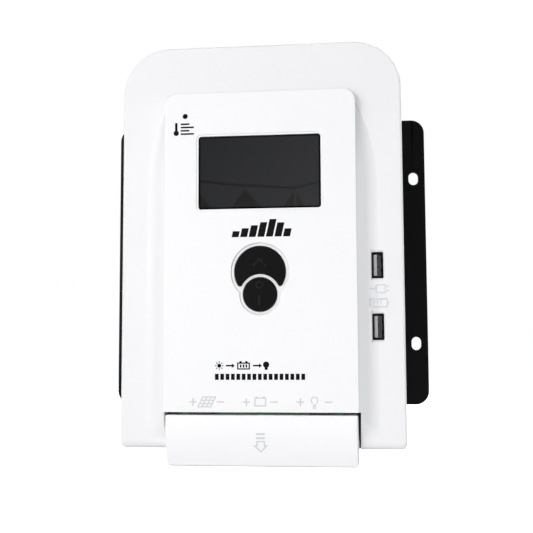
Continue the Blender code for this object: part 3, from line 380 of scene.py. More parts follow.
def loft(rings):
    """A closed solid through rings of points, with a flat cap at each end."""
    bm = bmesh.new()
    layers = stitch(bm, rings)
    bm.faces.new(layers[0])
    bm.faces.new(list(reversed(layers[-1])))
    return mesh_from_bmesh(bm)


def upright(outline, low, high):
    """A solid from an outline seen from above."""
    return loft([[(x, y, z) for x, y in outline] for z in (low, high)])


def box(low, high):
    return upright(block(low[0], low[1], high[0] - low[0], high[1] - low[1]), low[2], high[2])


def prism(outline, front, back):
    return loft([at_depth(outline, front), at_depth(outline, back)])


def rod(x, z, radius, front, back, steps=48):
    return prism(circle(x, z, radius, steps), front, back)


def slab(outline, front, back, edge, steps=5):
    """A flat solid whose front edge is rounded."""
    rings = [at_depth(offset_outline(outline, -inset), front + depth)
             for inset, depth in quarter_round(edge, steps)]
    return loft(rings + [at_depth(outline, back)])


def mouth(outline, front, back, edge, steps=4):
    """A cutter for a hole whose front edge is rounded."""
    rings = [at_depth(offset_outline(outline, edge * 0.98), front - MM)]
    rings += [at_depth(offset_outline(outline, inset), front + depth)
              for inset, depth in quarter_round(edge, steps)[1:]]
    return loft(rings + [at_depth(outline, back)])


def recess(outline, front, width, depth):
    """A cutter for a shallow recess with a sloping edge. The outline is that of its floor."""
    wide = offset_outline(outline, width * (1 + MM / depth))
    return loft([at_depth(wide, front - MM), at_depth(outline, front + depth)])


def turned(profile, x, front, z):
    """A piece turned about an axis along Y, from (radius, depth) points that run from the front end back."""
    return loft([at_depth(circle(x, z, radius), front + depth) for radius, depth in profile])


def combine(mesh, others, operation):
    """A Boolean of one mesh with several others, one after another."""
    for other in others:
        target, operand = new_object("target", mesh), new_object("operand", other)
        modifier = target.modifiers.new("Boolean", "BOOLEAN")
        modifier.object = operand
        modifier.operation = operation
        modifier.solver = "EXACT"
        bpy.context.view_layer.update()
        evaluated = target.evaluated_get(bpy.context.evaluated_depsgraph_get())
        mesh = bpy.data.meshes.new_from_object(evaluated)
        for obj in (target, operand):
            bpy.data.objects.remove(obj)
    return mesh


def cut(mesh, *cutters):
    return combine(mesh, cutters, "DIFFERENCE")


def join(mesh, *others):
    return combine(mesh, others, "UNION")


def merged(meshes):
    """Several separate solids as one mesh."""
    bm = bmesh.new()
    for mesh in meshes:
        bm.from_mesh(mesh)
    return mesh_from_bmesh(bm)


def laid_on(mesh, face_y):
    """Moves a mesh's points back by the depth of a face at their place, and gives the mesh back."""
    for vertex in mesh.vertices:
        vertex.co.y += face_y(vertex.co.x, vertex.co.z)
    return mesh


def add_piece(mesh, name, material, body, replaces=()):
    """A finished piece of the object, riding on its body."""
    mesh.shade_smooth()
    mesh.set_sharp_from_angle(angle=math.radians(SHARP_ANGLE))
    mesh.materials.clear()
    mesh.materials.append(material)
    obj = new_object(name, mesh)
    weighted = obj.modifiers.new("Flat faces", "WEIGHTED_NORMAL")
    weighted.keep_sharp = True
    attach(obj, body)
    if replaces:
        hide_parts(*replaces)
    return obj


def add_bevel(obj, width):
    """A small rounding of an object's sharp edges, placed before its normals are weighted."""
    bevel = obj.modifiers.new("Edge rounding", "BEVEL")
    bevel.width = width
    bevel.segments = 2
    bevel.limit_method = "ANGLE"
    bevel.angle_limit = math.radians(BEVEL_ANGLE)
    bevel.harden_normals = False
    obj.modifiers.move(len(obj.modifiers) - 1, 0)


# ---------------------------------------------------------------- housing

def cover_face_y(z):
    """Depth of the terminal cover's face, which curves back towards its lower edge."""
    if z >= COVER_CURVE_START:
        return CONSOLE_Y
    share = (COVER_CURVE_START - z) / (COVER_CURVE_START - COVER_BOTTOM)
    return CONSOLE_Y + COVER_CURVE_BACK * share ** COVER_CURVE_POWER


def body_ring(y, side_inset, bottom_inset=None):
    """One ring round the body, set in from its greatest width and, if that differs, from its lower end."""
    bottom = side_inset if bottom_inset is None else bottom_inset
    outline = rounded_rectangle((-BODY_HALF_WIDTH + side_inset, BODY_BOTTOM + bottom),
                                (BODY_HALF_WIDTH - side_inset, BODY_TOP - side_inset),
                                BODY_BOTTOM_CORNER, BODY_TOP_CORNER - side_inset, 6, 24)
    return at_depth(outline, y)


def flare_width(z):
    """How far the foot of the console's side stands out at one height."""
    short = 1 - min(1.0, (FLARE_START - z) / FLARE_GROWTH)
    return FLARE_MIN + (FLARE_WIDTH - FLARE_MIN) * (1 - short ** 2)


def flare_slope():
    """The flare's usual section as shares of its width and depth: a straight slope, then a curved foot."""
    bend, turn, straight = FLARE_BEND, FLARE_TURN, FLARE_STRAIGHT_STEPS
    points = [(bend * turn * i / straight, bend * i / straight) for i in range(1, straight + 1)]
    curved = FLARE_STEPS - straight
    for i in range(1, curved + 1):
        t = i / curved
        across = (1 - t) ** 2 * bend * turn + 2 * t * (1 - t) * turn + t ** 2
        points.append((across, 1 - (1 - t) ** 2 * (1 - bend)))
    return points


def flare_point(step, z):
    """One point of the flare's section at one height: a quarter round at the top turns into the slope."""
    angle = math.radians(90 * (step + 1) / FLARE_STEPS)
    share = min(1.0, (FLARE_START - z) / FLARE_SETTLE)
    across, down = flare_slope()[step]
    across = (1 - math.cos(angle)) * (1 - share) + across * share
    down = math.sin(angle) * (1 - share) + down * share
    start = CONSOLE_Y + CONSOLE_EDGE
    return across, start + (CONSOLE_FOOT - start) * down


def body_face_y(x, z):
    """Depth of the housing's face at the right of the console, on the flare or beside it."""
    across = (x - CONSOLE_HALF_WIDTH) / flare_width(z)
    before = (0.0, 0.0)
    for point in flare_slope():
        if across < point[0]:
            share = before[1] + (point[1] - before[1]) * (across - before[0]) / (point[0] - before[0])
            return CONSOLE_Y + CONSOLE_EDGE + (PLATE_Y - CONSOLE_Y - CONSOLE_EDGE) * share
        before = point
    return PLATE_Y


def console_ring(section, inset, drop):
    """One ring round the console, which sinks into the body's face at its lower end.

    The section gives the share of the flare's width and the depth for a height."""
    right = []
    for z in CONSOLE_LEVELS:
        across, y = section(z)
        if y < CONSOLE_FOOT:
            y = CONSOLE_FOOT - (CONSOLE_FOOT - y) * smooth_step(z, FADE_END, FADE_START)
        right.append((CONSOLE_HALF_WIDTH - inset + flare_width(z) * across, y, z))
    right[0] = (right[0][0], right[0][1], FADE_END - drop)
    across, y = section(FLARE_START)
    radius = CONSOLE_CORNER - inset + FLARE_MIN * across
    right += at_depth(arc((CONSOLE_HALF_WIDTH - CONSOLE_CORNER, FLARE_START), radius, 0, 90, 16)[1:], y)
    return right + [(-x, y, z) for x, y, z in reversed(right)]


def console_solid():
    """The raised console: a rounded edge, sides that flare into the body and a top that drops to it."""
    rings = []
    for i, (inset, depth) in enumerate(quarter_round(CONSOLE_EDGE, 4)):
        rings.append(console_ring(lambda z, y=CONSOLE_Y + depth: (0.0, y), inset, i * RING_DROP))
    for step in range(FLARE_STEPS):
        rings.append(console_ring(lambda z, step=step: flare_point(step, z), 0.0, (6 + step) * RING_DROP))
    rings.append(console_ring(lambda z: (1.0, PLATE_Y + MM), 0.0, 0.5 * MM))
    bm = bmesh.new()
    layers = stitch(bm, rings)
    face = layers[0]
    last = len(face) - 1
    for i in range(FADE_STEPS + 1):
        bm.faces.new((face[i], face[i + 1], face[last - 1 - i], face[last - i]))
    bm.faces.new(face[FADE_STEPS + 1:last - FADE_STEPS])
    bm.faces.new(list(reversed(layers[-1])))
    return mesh_from_bmesh(bm)


def inner_cavity(front, back, inset_front, inset_back):
    """The hollow inside one half of the housing, which leaves a wall round the cover's compartment."""
    reach = NOTCH_HALF_WIDTH + CHEEK
    keep = box((-reach, front - MM, BODY_BOTTOM - MM), (reach, back + MM, SEAM_TOP + CHEEK))
    return cut(loft([body_ring(front, inset_front), body_ring(back, inset_back)]), keep)


def screw_rods(kind, radius, front, back, steps=24):
    """A rod on the axis of each "case" or "board" screw."""
    centres = [centre_of(name) for name in sorted(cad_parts) if name.startswith(kind + "_screw")]
    return [rod(centre.x, centre.z, radius, front, back, steps) for centre in centres]


def front_housing(material):
    side_depths = [depth for _, depth in quarter_round(SIDE_RIM, 6)]
    bottom_depths = [depth for _, depth in quarter_round(BOTTOM_RIM, 12) if depth > SIDE_RIM * 1.05]
    rings = [body_ring(PLATE_Y + depth, rim_inset(depth, SIDE_RIM), rim_inset(depth, BOTTOM_RIM))
             for depth in side_depths + bottom_depths]
    rings.append(body_ring(PARTING_Y, SIDE_DRAFT))
    shell = join(loft(rings), console_solid())
    inside_x = CONSOLE_HALF_WIDTH - WALL
    shell = cut(shell, inner_cavity(PLATE_Y + WALL, PARTING_Y + MM, WALL, WALL + SIDE_DRAFT),
                box((-inside_x, CONSOLE_Y + WALL, SEAM_TOP + 2 * CHEEK),
                    (inside_x, PLATE_Y + WALL + MM, CONSOLE_TOP - WALL)))
    shell = join(shell, *screw_rods("case", BOSS_RADIUS, PLATE_Y + WALL - MM, PARTING_Y, 32))
    shell = cut(shell, *compartment_cutters(), *face_cutters(),
                *screw_rods("case", BOSS_HOLE_RADIUS, PLATE_Y + WALL + MM, PARTING_Y + MM))
    add_piece(shell, "front_housing", material, "housing", ["front_shell"])


def notch_edge_y(reach, z):
    """Depth of the housing's surface beside the notch, at a distance outside the console's edge."""
    slope = (CONSOLE_FOOT - CONSOLE_Y) / (FLARE_TURN * FLARE_WIDTH)
    y = CONSOLE_Y + CONSOLE_EDGE + slope * max(0.0, reach)
    return CONSOLE_FOOT - (CONSOLE_FOOT - y) * smooth_step(z, FADE_END, FADE_START)


def notch_cutter(front, back):
    """The cover's notch, with rounded edges at both sides."""
    rings = []
    for z in (BODY_BOTTOM - MM, *FADE_LEVELS, SEAM_TOP):
        left_y = notch_edge_y(-NOTCH_LEFT - CONSOLE_HALF_WIDTH, z) + NOTCH_ROUND
        right = NOTCH_RIGHT - NOTCH_LEAN * (SEAM_TOP - z) / (SEAM_TOP - BODY_BOTTOM)
        right_y = notch_edge_y(right - CONSOLE_HALF_WIDTH, z) + NOTCH_ROUND
        ring = [(NOTCH_LEFT, back)] + arc((NOTCH_LEFT - NOTCH_ROUND, left_y), NOTCH_ROUND, 0, -90, 5)
        ring += [(NOTCH_LEFT - NOTCH_ROUND, front), (right + NOTCH_ROUND, front)]
        ring += arc((right + NOTCH_ROUND, right_y), NOTCH_ROUND, 270, 180, 5) + [(right, back)]
        rings.append([(x, y, z) for x, y in ring])
    return loft(rings)


def hook_boxes(margin, low, high):
    """The terminal cover's two hooks, or their slots with a margin round them."""
    reach = HOOK_HALF_WIDTH + margin
    return [box((x - reach, HOOK_FRONT - margin, low), (x + reach, HOOK_BACK + margin, high))
            for x in (-HOOK_X, HOOK_X)]


def compartment_cutters():
    """The notch for the terminal cover, the hole for the terminal block and the cover's two hook slots."""
    back = PARTING_Y + MM
    block_hole = box((BLOCK_LOW.x - GAP, BLOCK_LOW.y - GAP, SEAM_TOP - MM),
                     (BLOCK_HIGH.x + GAP, back, SEAM_TOP + CHEEK + MM))
    return [notch_cutter(CONSOLE_Y - MM, back), block_hole,
            *hook_boxes(GAP, SEAM_TOP - MM, SEAM_TOP + 2 * CHEEK + MM)]


def face_cutters():
    """Openings in the front: display, keys, sensor hole and USB sockets, each with its own kind of edge."""
    window = offset_outline(rounded_rectangle(LENS_LOW, LENS_HIGH, LENS_CORNER), GAP)
    ring_floor = two_discs(UP_RADIUS + KEY_RING_FLOOR, POWER_RADIUS + KEY_RING_FLOOR)
    floor_y, c = CONSOLE_Y + KEY_RING_DEPTH, KEY_CLEARANCE
    up_hole = crescent(UP_RADIUS + c, UP_INNER_RADIUS - c, UP_TIP + c)
    cutters = [
        recess(offset_outline(window, FRAME_WIDTH), CONSOLE_Y, FRAME_SLOPE, FRAME_DEPTH),
        prism(window, CONSOLE_Y - MM, PLATE_Y),
        recess(ring_floor, CONSOLE_Y, KEY_RING_SLOPE, KEY_RING_DEPTH),
        mouth(up_hole, floor_y, PLATE_Y, KEY_MOUTH_EDGE),
        mouth(circle(KEY_X, POWER_Z, POWER_RADIUS + c, 96), floor_y, PLATE_Y, KEY_MOUTH_EDGE),
        mouth(circle(SENSOR.x, SENSOR.z, SENSOR_HOLE_RADIUS), CONSOLE_Y, PLATE_Y, 0.15 * MM),
        rod(SENSOR.x, SENSOR.z, SENSOR_SEAT_RADIUS, CONSOLE_Y + 0.7 * MM, PLATE_Y),
    ]
    for name in USB_NAMES:
        low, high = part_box("usb_shell_" + name)
        hole = rounded_rectangle((low.x - GAP, low.z - GAP), (high.x + GAP, high.z + GAP), USB_CORNER)
        cutters.append(loft([at_depth(offset_outline(hole, USB_FUNNEL + MM), PLATE_Y - MM),
                             at_depth(hole, PLATE_Y + USB_FUNNEL), at_depth(hole, PLATE_Y + WALL + MM)]))
    return cutters


def rear_housing(material):
    front, back = REAR_LOW.y, REAR_HIGH.y
    inset = REAR_INSET + REAR_DRAFT
    sections = ((front, REAR_INSET + 0.3 * MM), (front + 0.3 * MM, REAR_INSET),
                (back - 1.5 * MM, inset - 0.2 * MM), (back - 0.4 * MM, inset + 0.2 * MM),
                (back, inset + 0.9 * MM))
    shell = loft([body_ring(*section) for section in sections])
    shell = cut(shell, inner_cavity(front - MM, REAR_WALL_FRONT, REAR_INSET + WALL, inset + WALL))
    board_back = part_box("main_board")[1].y + GAP
    shell = join(shell, *screw_rods("case", BOSS_RADIUS, front, REAR_WALL_FRONT + MM, 32),
                 *screw_rods("board", BOSS_RADIUS, board_back, REAR_WALL_FRONT + MM, 32))
    low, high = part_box("heat_spreader")
    openings = [
        box((-NOTCH_HALF_WIDTH, front - MM, BODY_BOTTOM - MM), (NOTCH_HALF_WIDTH, REAR_WALL_FRONT, SEAM_TOP)),
        box((BLOCK_LOW.x - GAP, front - MM, SEAM_TOP - MM),
            (BLOCK_HIGH.x + GAP, REAR_WALL_FRONT, SEAM_TOP + CHEEK + MM)),
        box((low.x - MM, REAR_WALL_FRONT - MM, low.z - MM), (high.x + MM, back + MM, high.z + MM)),
        *screw_rods("case", BOSS_HOLE_RADIUS, front - MM, back + MM),
        *screw_rods("board", BOSS_HOLE_RADIUS, front - MM, back + MM),
    ]
    add_piece(cut(shell, *openings), "rear_housing", material, "housing", ["rear_shell"])


def cover_face():
    """The cover's front from its top edge down to its lower edge, as (depth, height) points."""
    top, low = COVER_TOP_EDGE, COVER_LOW_EDGE
    points = [(CONSOLE_Y + y, COVER_TOP - z) for y, z in arc((top, top), top, 270, 180, 4)]
    start, end = COVER_TOP - 2 * top, COVER_BOTTOM + low
    heights = [start + (end - start) * i / COVER_FACE_STEPS for i in range(COVER_FACE_STEPS + 1)]
    points += [(cover_face_y(z), z) for z in heights]
    for degrees in range(12, 91, 13):
        angle = math.radians(degrees)
        y = cover_face_y(end) + low * (1 - math.cos(angle)) + 0.3 * MM * degrees / 90
        points.append((y, end - low * math.sin(angle)))
    return points


def cover_block(face):
    """The cover as a full solid with rounded sides and lower corners, a little wider towards the back."""
    profile = face + [(COVER_BACK_Y, COVER_BOTTOM), (COVER_BACK_Y, COVER_TOP)]
    rings = []
    for inset in COVER_INSETS:
        section = offset_outline(profile, -rim_inset(inset, COVER_SIDE_ROUND))
        lowest = COVER_BOTTOM + rim_inset(inset, COVER_CORNER)
        rings.append([(inset - COVER_HALF_WIDTH, y, max(z, lowest)) for y, z in section])
    rings += [[(-x, y, z) for x, y, z in ring] for ring in reversed(rings)]
    mesh = loft(rings)
    for vertex in mesh.vertices:
        share = (vertex.co.y - CONSOLE_Y) / (COVER_BACK_Y - CONSOLE_Y)
        vertex.co.x += math.copysign(COVER_DRAFT * share, vertex.co.x) + COVER_SHIFT
    return mesh


def cover_cavity(face):
    """The hollow behind the cover's face, open below and at the back, and above for the terminal block."""
    points = [(CONSOLE_Y + COVER_WALL, COVER_TOP - COVER_WALL)]
    points += [(y + COVER_WALL, z) for y, z in face
               if COVER_BOTTOM + COVER_LOW_EDGE * 0.9 < z < COVER_TOP - COVER_WALL - 0.5 * MM]
    low, high, back = COVER_BOTTOM - MM, COVER_TOP + MM, COVER_BACK_Y + MM
    shelf_back = BLOCK_LOW.y - 2 * MM
    points += [(points[-1][0] + 0.2 * MM, low), (back, low), (back, high), (shelf_back, high),
               (shelf_back, COVER_TOP - COVER_WALL)]
    reach = COVER_HALF_WIDTH - COVER_WALL
    return loft([[(x, y, z) for y, z in points] for x in (COVER_SHIFT - reach, COVER_SHIFT + reach)])


def terminal_cover(material, dark):
    face = cover_face()
    cover = cut(cover_block(face), cover_cavity(face))
    add_piece(cover, "cover_shell", material, "terminal_cover", ["terminal_cover"])
    # The hooks are black as painted shade, so that the seam above the cover reads dark
    hooks = hook_boxes(0.0, COVER_TOP - 0.1 * MM, COVER_HIGH.z)
    add_piece(merged(hooks), "cover_hooks", dark, "terminal_cover")


def gap_shade_strips(material):
    """Dark strips on the notch's side walls, behind the gaps beside the terminal cover: painted shade that
    makes the gaps read dark.
    """
    strips = []
    for side, notch in ((-1, NOTCH_LEFT), (1, NOTCH_RIGHT)):
        ends = sorted((COVER_SHIFT + side * (COVER_HALF_WIDTH + SHADE_STRIP_CLEAR), notch + side * SHADE_STRIP_CLEAR))
        strips.append(box((ends[0], SHADE_STRIP_FRONT, BODY_BOTTOM + 0.4 * MM),
                          (ends[1], SHADE_STRIP_BACK, SEAM_TOP + 0.3 * MM)))
    add_piece(merged(strips), "gap_shade_strips", material, "housing")


# ---------------------------------------------------------------- heat sink

def finned_heatsink(material):
    """One extrusion: base plate, upright fins and two wall flanges, with rounded corners and slots."""
    half = [(CENTRE_RIB / 2, 0.0), (CENTRE_RIB / 2, BASE_PLATE_BACK)]
    for i in range(1, FIN_COUNT_PER_SIDE + 1):
        x, t = i * FIN_PITCH, FIN_THICKNESS / 2
        half += [(x - t, BASE_PLATE_BACK), (x - t * 0.8, -FIN_SETBACK),
                 (x + t * 0.8, -FIN_SETBACK), (x + t, BASE_PLATE_BACK)]
    edge = BASE_HALF_WIDTH - EDGE_RIB
    half += [(edge, BASE_PLATE_BACK), (edge, 0.0), (SINK_HIGH.x, 0.0), (SINK_HIGH.x, -FLANGE_THICKNESS),
             (BASE_HALF_WIDTH, -FLANGE_THICKNESS), (BASE_HALF_WIDTH, SINK_LOW.y)]
    body = upright(half + [(-x, y) for x, y in reversed(half)], SINK_LOW.z, SINK_HIGH.z)
    x, z = SINK_HIGH.x - FLANGE_CORNER, SINK_HIGH.z - FLANGE_CORNER
    outer_x, outer_z = SINK_HIGH.x + 2 * MM, SINK_HIGH.z + 2 * MM
    corner = arc((x, z), FLANGE_CORNER, 0, 90, 20) + [(x, outer_z), (outer_x, outer_z), (outer_x, z)]
    radius, reach = SLOT_WIDTH / 2, (SLOT_LENGTH - SLOT_WIDTH) / 2
    slot = arc((SLOT_X, SLOT_Z + reach), radius, 0, 180, 16)
    slot += arc((SLOT_X, SLOT_Z - reach), radius, 180, 360, 16)
    cutters = [prism([(sx * x, sz * z) for x, z in outline], -FLANGE_THICKNESS - MM, MM)
               for outline in (corner, slot) for sx, sz in SIGNS]
    threads = screw_rods("board", 1.6 * MM, SINK_LOW.y - MM, BASE_PLATE_BACK + MM)
    obj = add_piece(cut(body, *cutters, *threads), "finned_heatsink", material, "housing",
                    ["heatsink"])
    add_bevel(obj, 0.3 * MM)


# ---------------------------------------------------------------- display and keys

def display_lens(material):
    """The pane in the window and the wider rim behind it that keeps it in."""
    pane = rounded_rectangle(LENS_LOW, LENS_HIGH, LENS_CORNER)
    rim = rounded_rectangle((WINDOW_LOW.x, WINDOW_LOW.z), (WINDOW_HIGH.x, WINDOW_HIGH.z), MM)
    edge = 0.15 * MM
    sections = ((offset_outline(pane, -edge), LENS_FRONT), (pane, LENS_FRONT + edge), (pane, FLANGE_FRONT),
                (rim, FLANGE_FRONT), (rim, WINDOW_HIGH.y))
    add_piece(loft([at_depth(*section) for section in sections]), "display_lens", material, "housing",
              ["lcd_window"])


def keys(material):
    """Both keys: rounded caps and the flanges that keep them in."""
    outlines = {
        "up": (crescent(UP_RADIUS, UP_INNER_RADIUS, UP_TIP),
               crescent(UP_RADIUS + KEY_FLANGE, UP_INNER_RADIUS - KEY_FLANGE, 0.4 * MM)),
        "power": (circle(KEY_X, POWER_Z, POWER_RADIUS, 96),
                  circle(KEY_X, POWER_Z, POWER_RADIUS + KEY_FLANGE, 96)),
    }
    for name, (cap, flange) in outlines.items():
        key = join(slab(cap, KEY_FRONT, FLANGE_FRONT + 0.5 * MM, KEY_EDGE),
                   prism(flange, FLANGE_FRONT, KEY_BACK))
        add_piece(key, name + "_key", material, name + "_button", [name + "_button"])


# ---------------------------------------------------------------- USB sockets

def spring_leaf(wall_x, mouth_y, z):
    """A sprung leaf of the socket's sheet that leans into the socket."""
    path = ((0.0, 1.2), (0.55, 2.6), (0.55, 3.4), (0.0, 5.6))
    front = [(wall_x - inward * MM, mouth_y + depth * MM) for inward, depth in path]
    outline = front + [(wall_x + 0.1 * MM, y) for _, y in reversed(front)]
    return upright(outline, z - SPRING_HALF_WIDTH, z + SPRING_HALF_WIDTH)


def usb_socket(name, metal, insulator, gold):
    node = "usb_shell_" + name
    low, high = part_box(node)
    outer = rounded_rectangle((low.x, low.z), (high.x, high.z), USB_CORNER)
    tube = cut(slab(outer, low.y, high.y, 0.12 * MM, 2),
               mouth(offset_outline(outer, -USB_SHEET), low.y, high.y - USB_SHEET, 0.12 * MM, 2))
    springs = [spring_leaf(high.x - USB_SHEET, low.y, centre_of(node).z + z) for z in SPRING_OFFSETS]
    add_piece(merged([tube] + springs), "usb_socket_" + name, metal, "housing", [node])
    node = "usb_tongue_" + name
    low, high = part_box(node)
    z = centre_of(node).z
    left, right = low.x + 0.1 * MM, low.x + 1.9 * MM
    tongue = rounded_rectangle((left, z - TONGUE_HALF_HEIGHT), (right, z + TONGUE_HALF_HEIGHT), 0.3 * MM,
                               low_steps=4, high_steps=4)
    root = box((low.x, high.y - 3.0 * MM, low.z), high)
    add_piece(join(slab(tongue, low.y, high.y - 1.5 * MM, 0.25 * MM, 3), root), "usb_insulator_" + name,
              insulator, "housing", [node])
    path = ((-0.2 * MM, 0.5), (0.0, 0.5), (CONTACT_RISE, 1.6), (CONTACT_RISE, 2.2), (0.1 * MM, 4.0),
            (0.1 * MM, 8.6), (-0.2 * MM, 8.6))
    outline = [(right + rise, low.y + depth * MM) for rise, depth in path]
    strips = [upright(outline, z + offset - CONTACT_HALF_WIDTH, z + offset + CONTACT_HALF_WIDTH)
              for offset in CONTACT_OFFSETS]
    add_piece(merged(strips), "usb_contacts_" + name, gold, "housing")


# ---------------------------------------------------------------- screws

def cross_slotted(screw, x, z, front, back, reach, half_width):
    """A screw with a cross slot from one depth to another."""
    arms = [box((x - a, front, z - b), (x + a, back, z + b))
            for a, b in ((reach, half_width), (half_width, reach))]
    return cut(screw, join(*arms))


def terminal_screws(material):
    shank, head, pitch = POLE_SHANK_RADIUS, POLE_HEAD, POLE_PITCH
    for number in range(1, 7):
        node = f"terminal_screw_{number}"
        low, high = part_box(node)
        x, _, z = centre_of(node)
        radius, length = (high.x - low.x) / 2, high.y - low.y
        profile = [(radius - 0.5 * MM, 0.0), (radius - 0.15 * MM, 0.15 * MM), (radius, 0.5 * MM),
                   (radius, head), (shank, head)]
        depth = head + 0.2 * MM
        while depth + pitch < length - 0.6 * MM:
            profile += [(shank - 0.3 * MM, depth + pitch * 0.25), (shank, depth + pitch * 0.5),
                        (shank, depth + pitch * 0.7)]
            depth += pitch
        profile += [(shank - 0.3 * MM, length - 0.4 * MM), (shank - 0.7 * MM, length)]
        screw = cross_slotted(turned(profile, x, low.y, z), x, z, low.y - MM, low.y + 1.2 * MM,
                              2.4 * MM, 0.45 * MM)
        add_piece(screw, f"pole_screw_{number}", material, node, [node])


def housing_screws(material):
    """Pan-head screws through the rear housing, heads to the wall side."""
    shank, head = HOUSING_SHANK_RADIUS, HOUSING_HEAD
    for number in range(1, 5):
        node = f"case_screw_{number}"
        low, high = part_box(node)
        x, _, z = centre_of(node)
        radius, length = (high.x - low.x) / 2, high.y - low.y
        profile = [(shank - 0.3 * MM, 0.2 * MM), (shank, 1.2 * MM), (shank, length - head),
                   (radius, length - head), (radius, length - 1.2 * MM),
                   (radius - 0.35 * MM, length - 0.5 * MM), (radius - 1.0 * MM, length - 0.08 * MM),
                   (0.5 * MM, length)]
        screw = cross_slotted(turned(profile, x, low.y, z), x, z, high.y - 1.1 * MM, high.y + MM,
                              1.6 * MM, 0.35 * MM)
        add_piece(screw, f"housing_screw_{number}", material, "housing", [node])


# ---------------------------------------------------------------- marks

def ink(outline):
    """A flat printed shape on the console's face."""
    return prism(outline, CONSOLE_Y - INK_RISE, CONSOLE_Y + MARK_ROOT)


def relief(outline, face_y=CONSOLE_Y):
    """A low moulded shape with soft edges on a face."""
    return slab(outline, face_y - RELIEF_RISE, face_y + MARK_ROOT, 0.12 * MM, 2)


def key_relief(outline):
    return slab(outline, KEY_FRONT - KEY_RISE, KEY_FRONT + 0.2 * MM, 0.2 * MM, 3)


def strokes(x, z, width, lines):
    """Outlines of straight strokes, from lines given in millimetres from a place."""
    return [bar((x + a * MM, z + b * MM), (x + c * MM, z + d * MM), width * MM) for a, b, c, d in lines]


def key_marks(material):
    """An upward arrowhead on the crescent key, a ring and a stroke on the round one."""
    peak, wide, stroke = UP_Z + 7.5 * MM, 3.8 * MM, 0.85 * MM
    shoulder = peak - 4.7 * MM
    foot = shoulder - stroke * 0.75
    arrowhead = [(KEY_X, peak), (KEY_X - wide, shoulder), (KEY_X - wide + stroke, foot),
                 (KEY_X, peak - 2.1 * stroke), (KEY_X + wide - stroke, foot), (KEY_X + wide, shoulder)]
    add_piece(key_relief(arrowhead), "up_key_mark", material, "up_button")
    ring_z = POWER_Z + 4.85 * MM
    ring = cut(key_relief(circle(KEY_X, ring_z, 2.1 * MM)),
               rod(KEY_X, ring_z, 1.0 * MM, KEY_FRONT - MM, KEY_FRONT + MM))
    line = key_relief(rounded_rectangle((KEY_X - 0.7 * MM, POWER_Z - 5.4 * MM),
                                        (KEY_X + 0.7 * MM, POWER_Z - 1.0 * MM), 0.3 * MM))
    add_piece(merged([ring, line]), "power_key_mark", material, "power_button")


def thermometer_mark(material):
    """A thermometer beside a short scale, under the sensor's hole."""
    x, z = SENSOR.x - 4.7 * MM, SENSOR.z - 10.4 * MM
    stem = rounded_rectangle((x - 0.65 * MM, z + 1.4 * MM), (x + 0.65 * MM, z + 7.0 * MM),
                             0.3 * MM, 0.6 * MM, 4, 6)
    shapes = [join(ink(circle(x, z + 1.4 * MM, 1.4 * MM)), ink(stem))]
    levels = [0.9 + 1.75 * i for i in range(4)]
    lines = [(2.4, level, 2.4 + length, level) for level, length in zip(levels, (7.0, 4.6, 7.0, 4.6))]
    shapes += [ink(stroke) for stroke in strokes(x, z, 0.85, lines)]
    add_piece(merged(shapes), "thermometer_mark", material, "housing")


def power_curve_mark(material):
    """Slanted bars whose heights follow a panel's power curve."""
    x, z = KEY_X - 14.6 * MM, UP_Z + 18.0 * MM
    shapes = []
    for i, share in enumerate(POWER_CURVE):
        height = 9.1 * MM * share
        shapes.append(ink(block(x + i * 4.45 * MM, z, 3.6 * MM, height, lean=0.22 * height)))
    add_piece(merged(shapes), "power_curve_mark", material, "housing")


def sun(x, z, size):
    """Outlines of a disc with eight rays."""
    outlines = [circle(x, z, size * 0.46, 32)]
    for start, end in zip(arc((x, z), size * 0.64, 0, 315, 7), arc((x, z), size, 0, 315, 7)):
        outlines.append(bar(start, end, size * 0.2))
    return outlines


def arrow(x, z, length):
    """The outline of an arrow to the right."""
    head, half = 1.5 * MM, 0.4 * MM
    neck = x + length - head
    return [(x, z - half), (neck, z - half), (neck, z - head * 0.75), (x + length, z),
            (neck, z + head * 0.75), (neck, z + half), (x, z + half)]


def energy_mark(material):
    """Sun, battery and lamp joined by arrows, over a scale of short strokes."""
    x, z = KEY_X - 23.2 * MM, POWER_Z - 36.3 * MM
    battery, lamp = x + 11.4 * MM, x + 26.3 * MM
    outlines = sun(x + 2.2 * MM, z, 2.2 * MM)
    outlines += [arrow(x + 5.6 * MM, z, 4.6 * MM), arrow(battery + 8.2 * MM, z, 4.6 * MM)]
    outlines += strokes(battery, z, 0.7, [(left, 1.95, left + 1.2, 1.95) for left in (1.2, 4.2)])
    outlines += strokes(battery, z, 0.8, [(left, -1.0, left, 0.6) for left in (1.85, 3.3, 4.75)])
    outlines += [block(x + 44.2 * MM * i / 16, POWER_Z - 43.5 * MM, 1.9 * MM, 3.1 * MM) for i in range(17)]
    case = block(battery, z - 2.0 * MM, 6.6 * MM, 3.6 * MM)
    hollow = prism(offset_outline(case, -0.65 * MM), CONSOLE_Y - MM, CONSOLE_Y + MM)
    bulb = join(ink(circle(lamp, z + 0.5 * MM, 1.6 * MM, 32)),
                ink(bar((lamp, z - 2.1 * MM), (lamp, z), 1.5 * MM)))
    shapes = [ink(outline) for outline in outlines] + [cut(ink(case), hollow), bulb]
    add_piece(merged(shapes), "energy_mark", material, "housing")


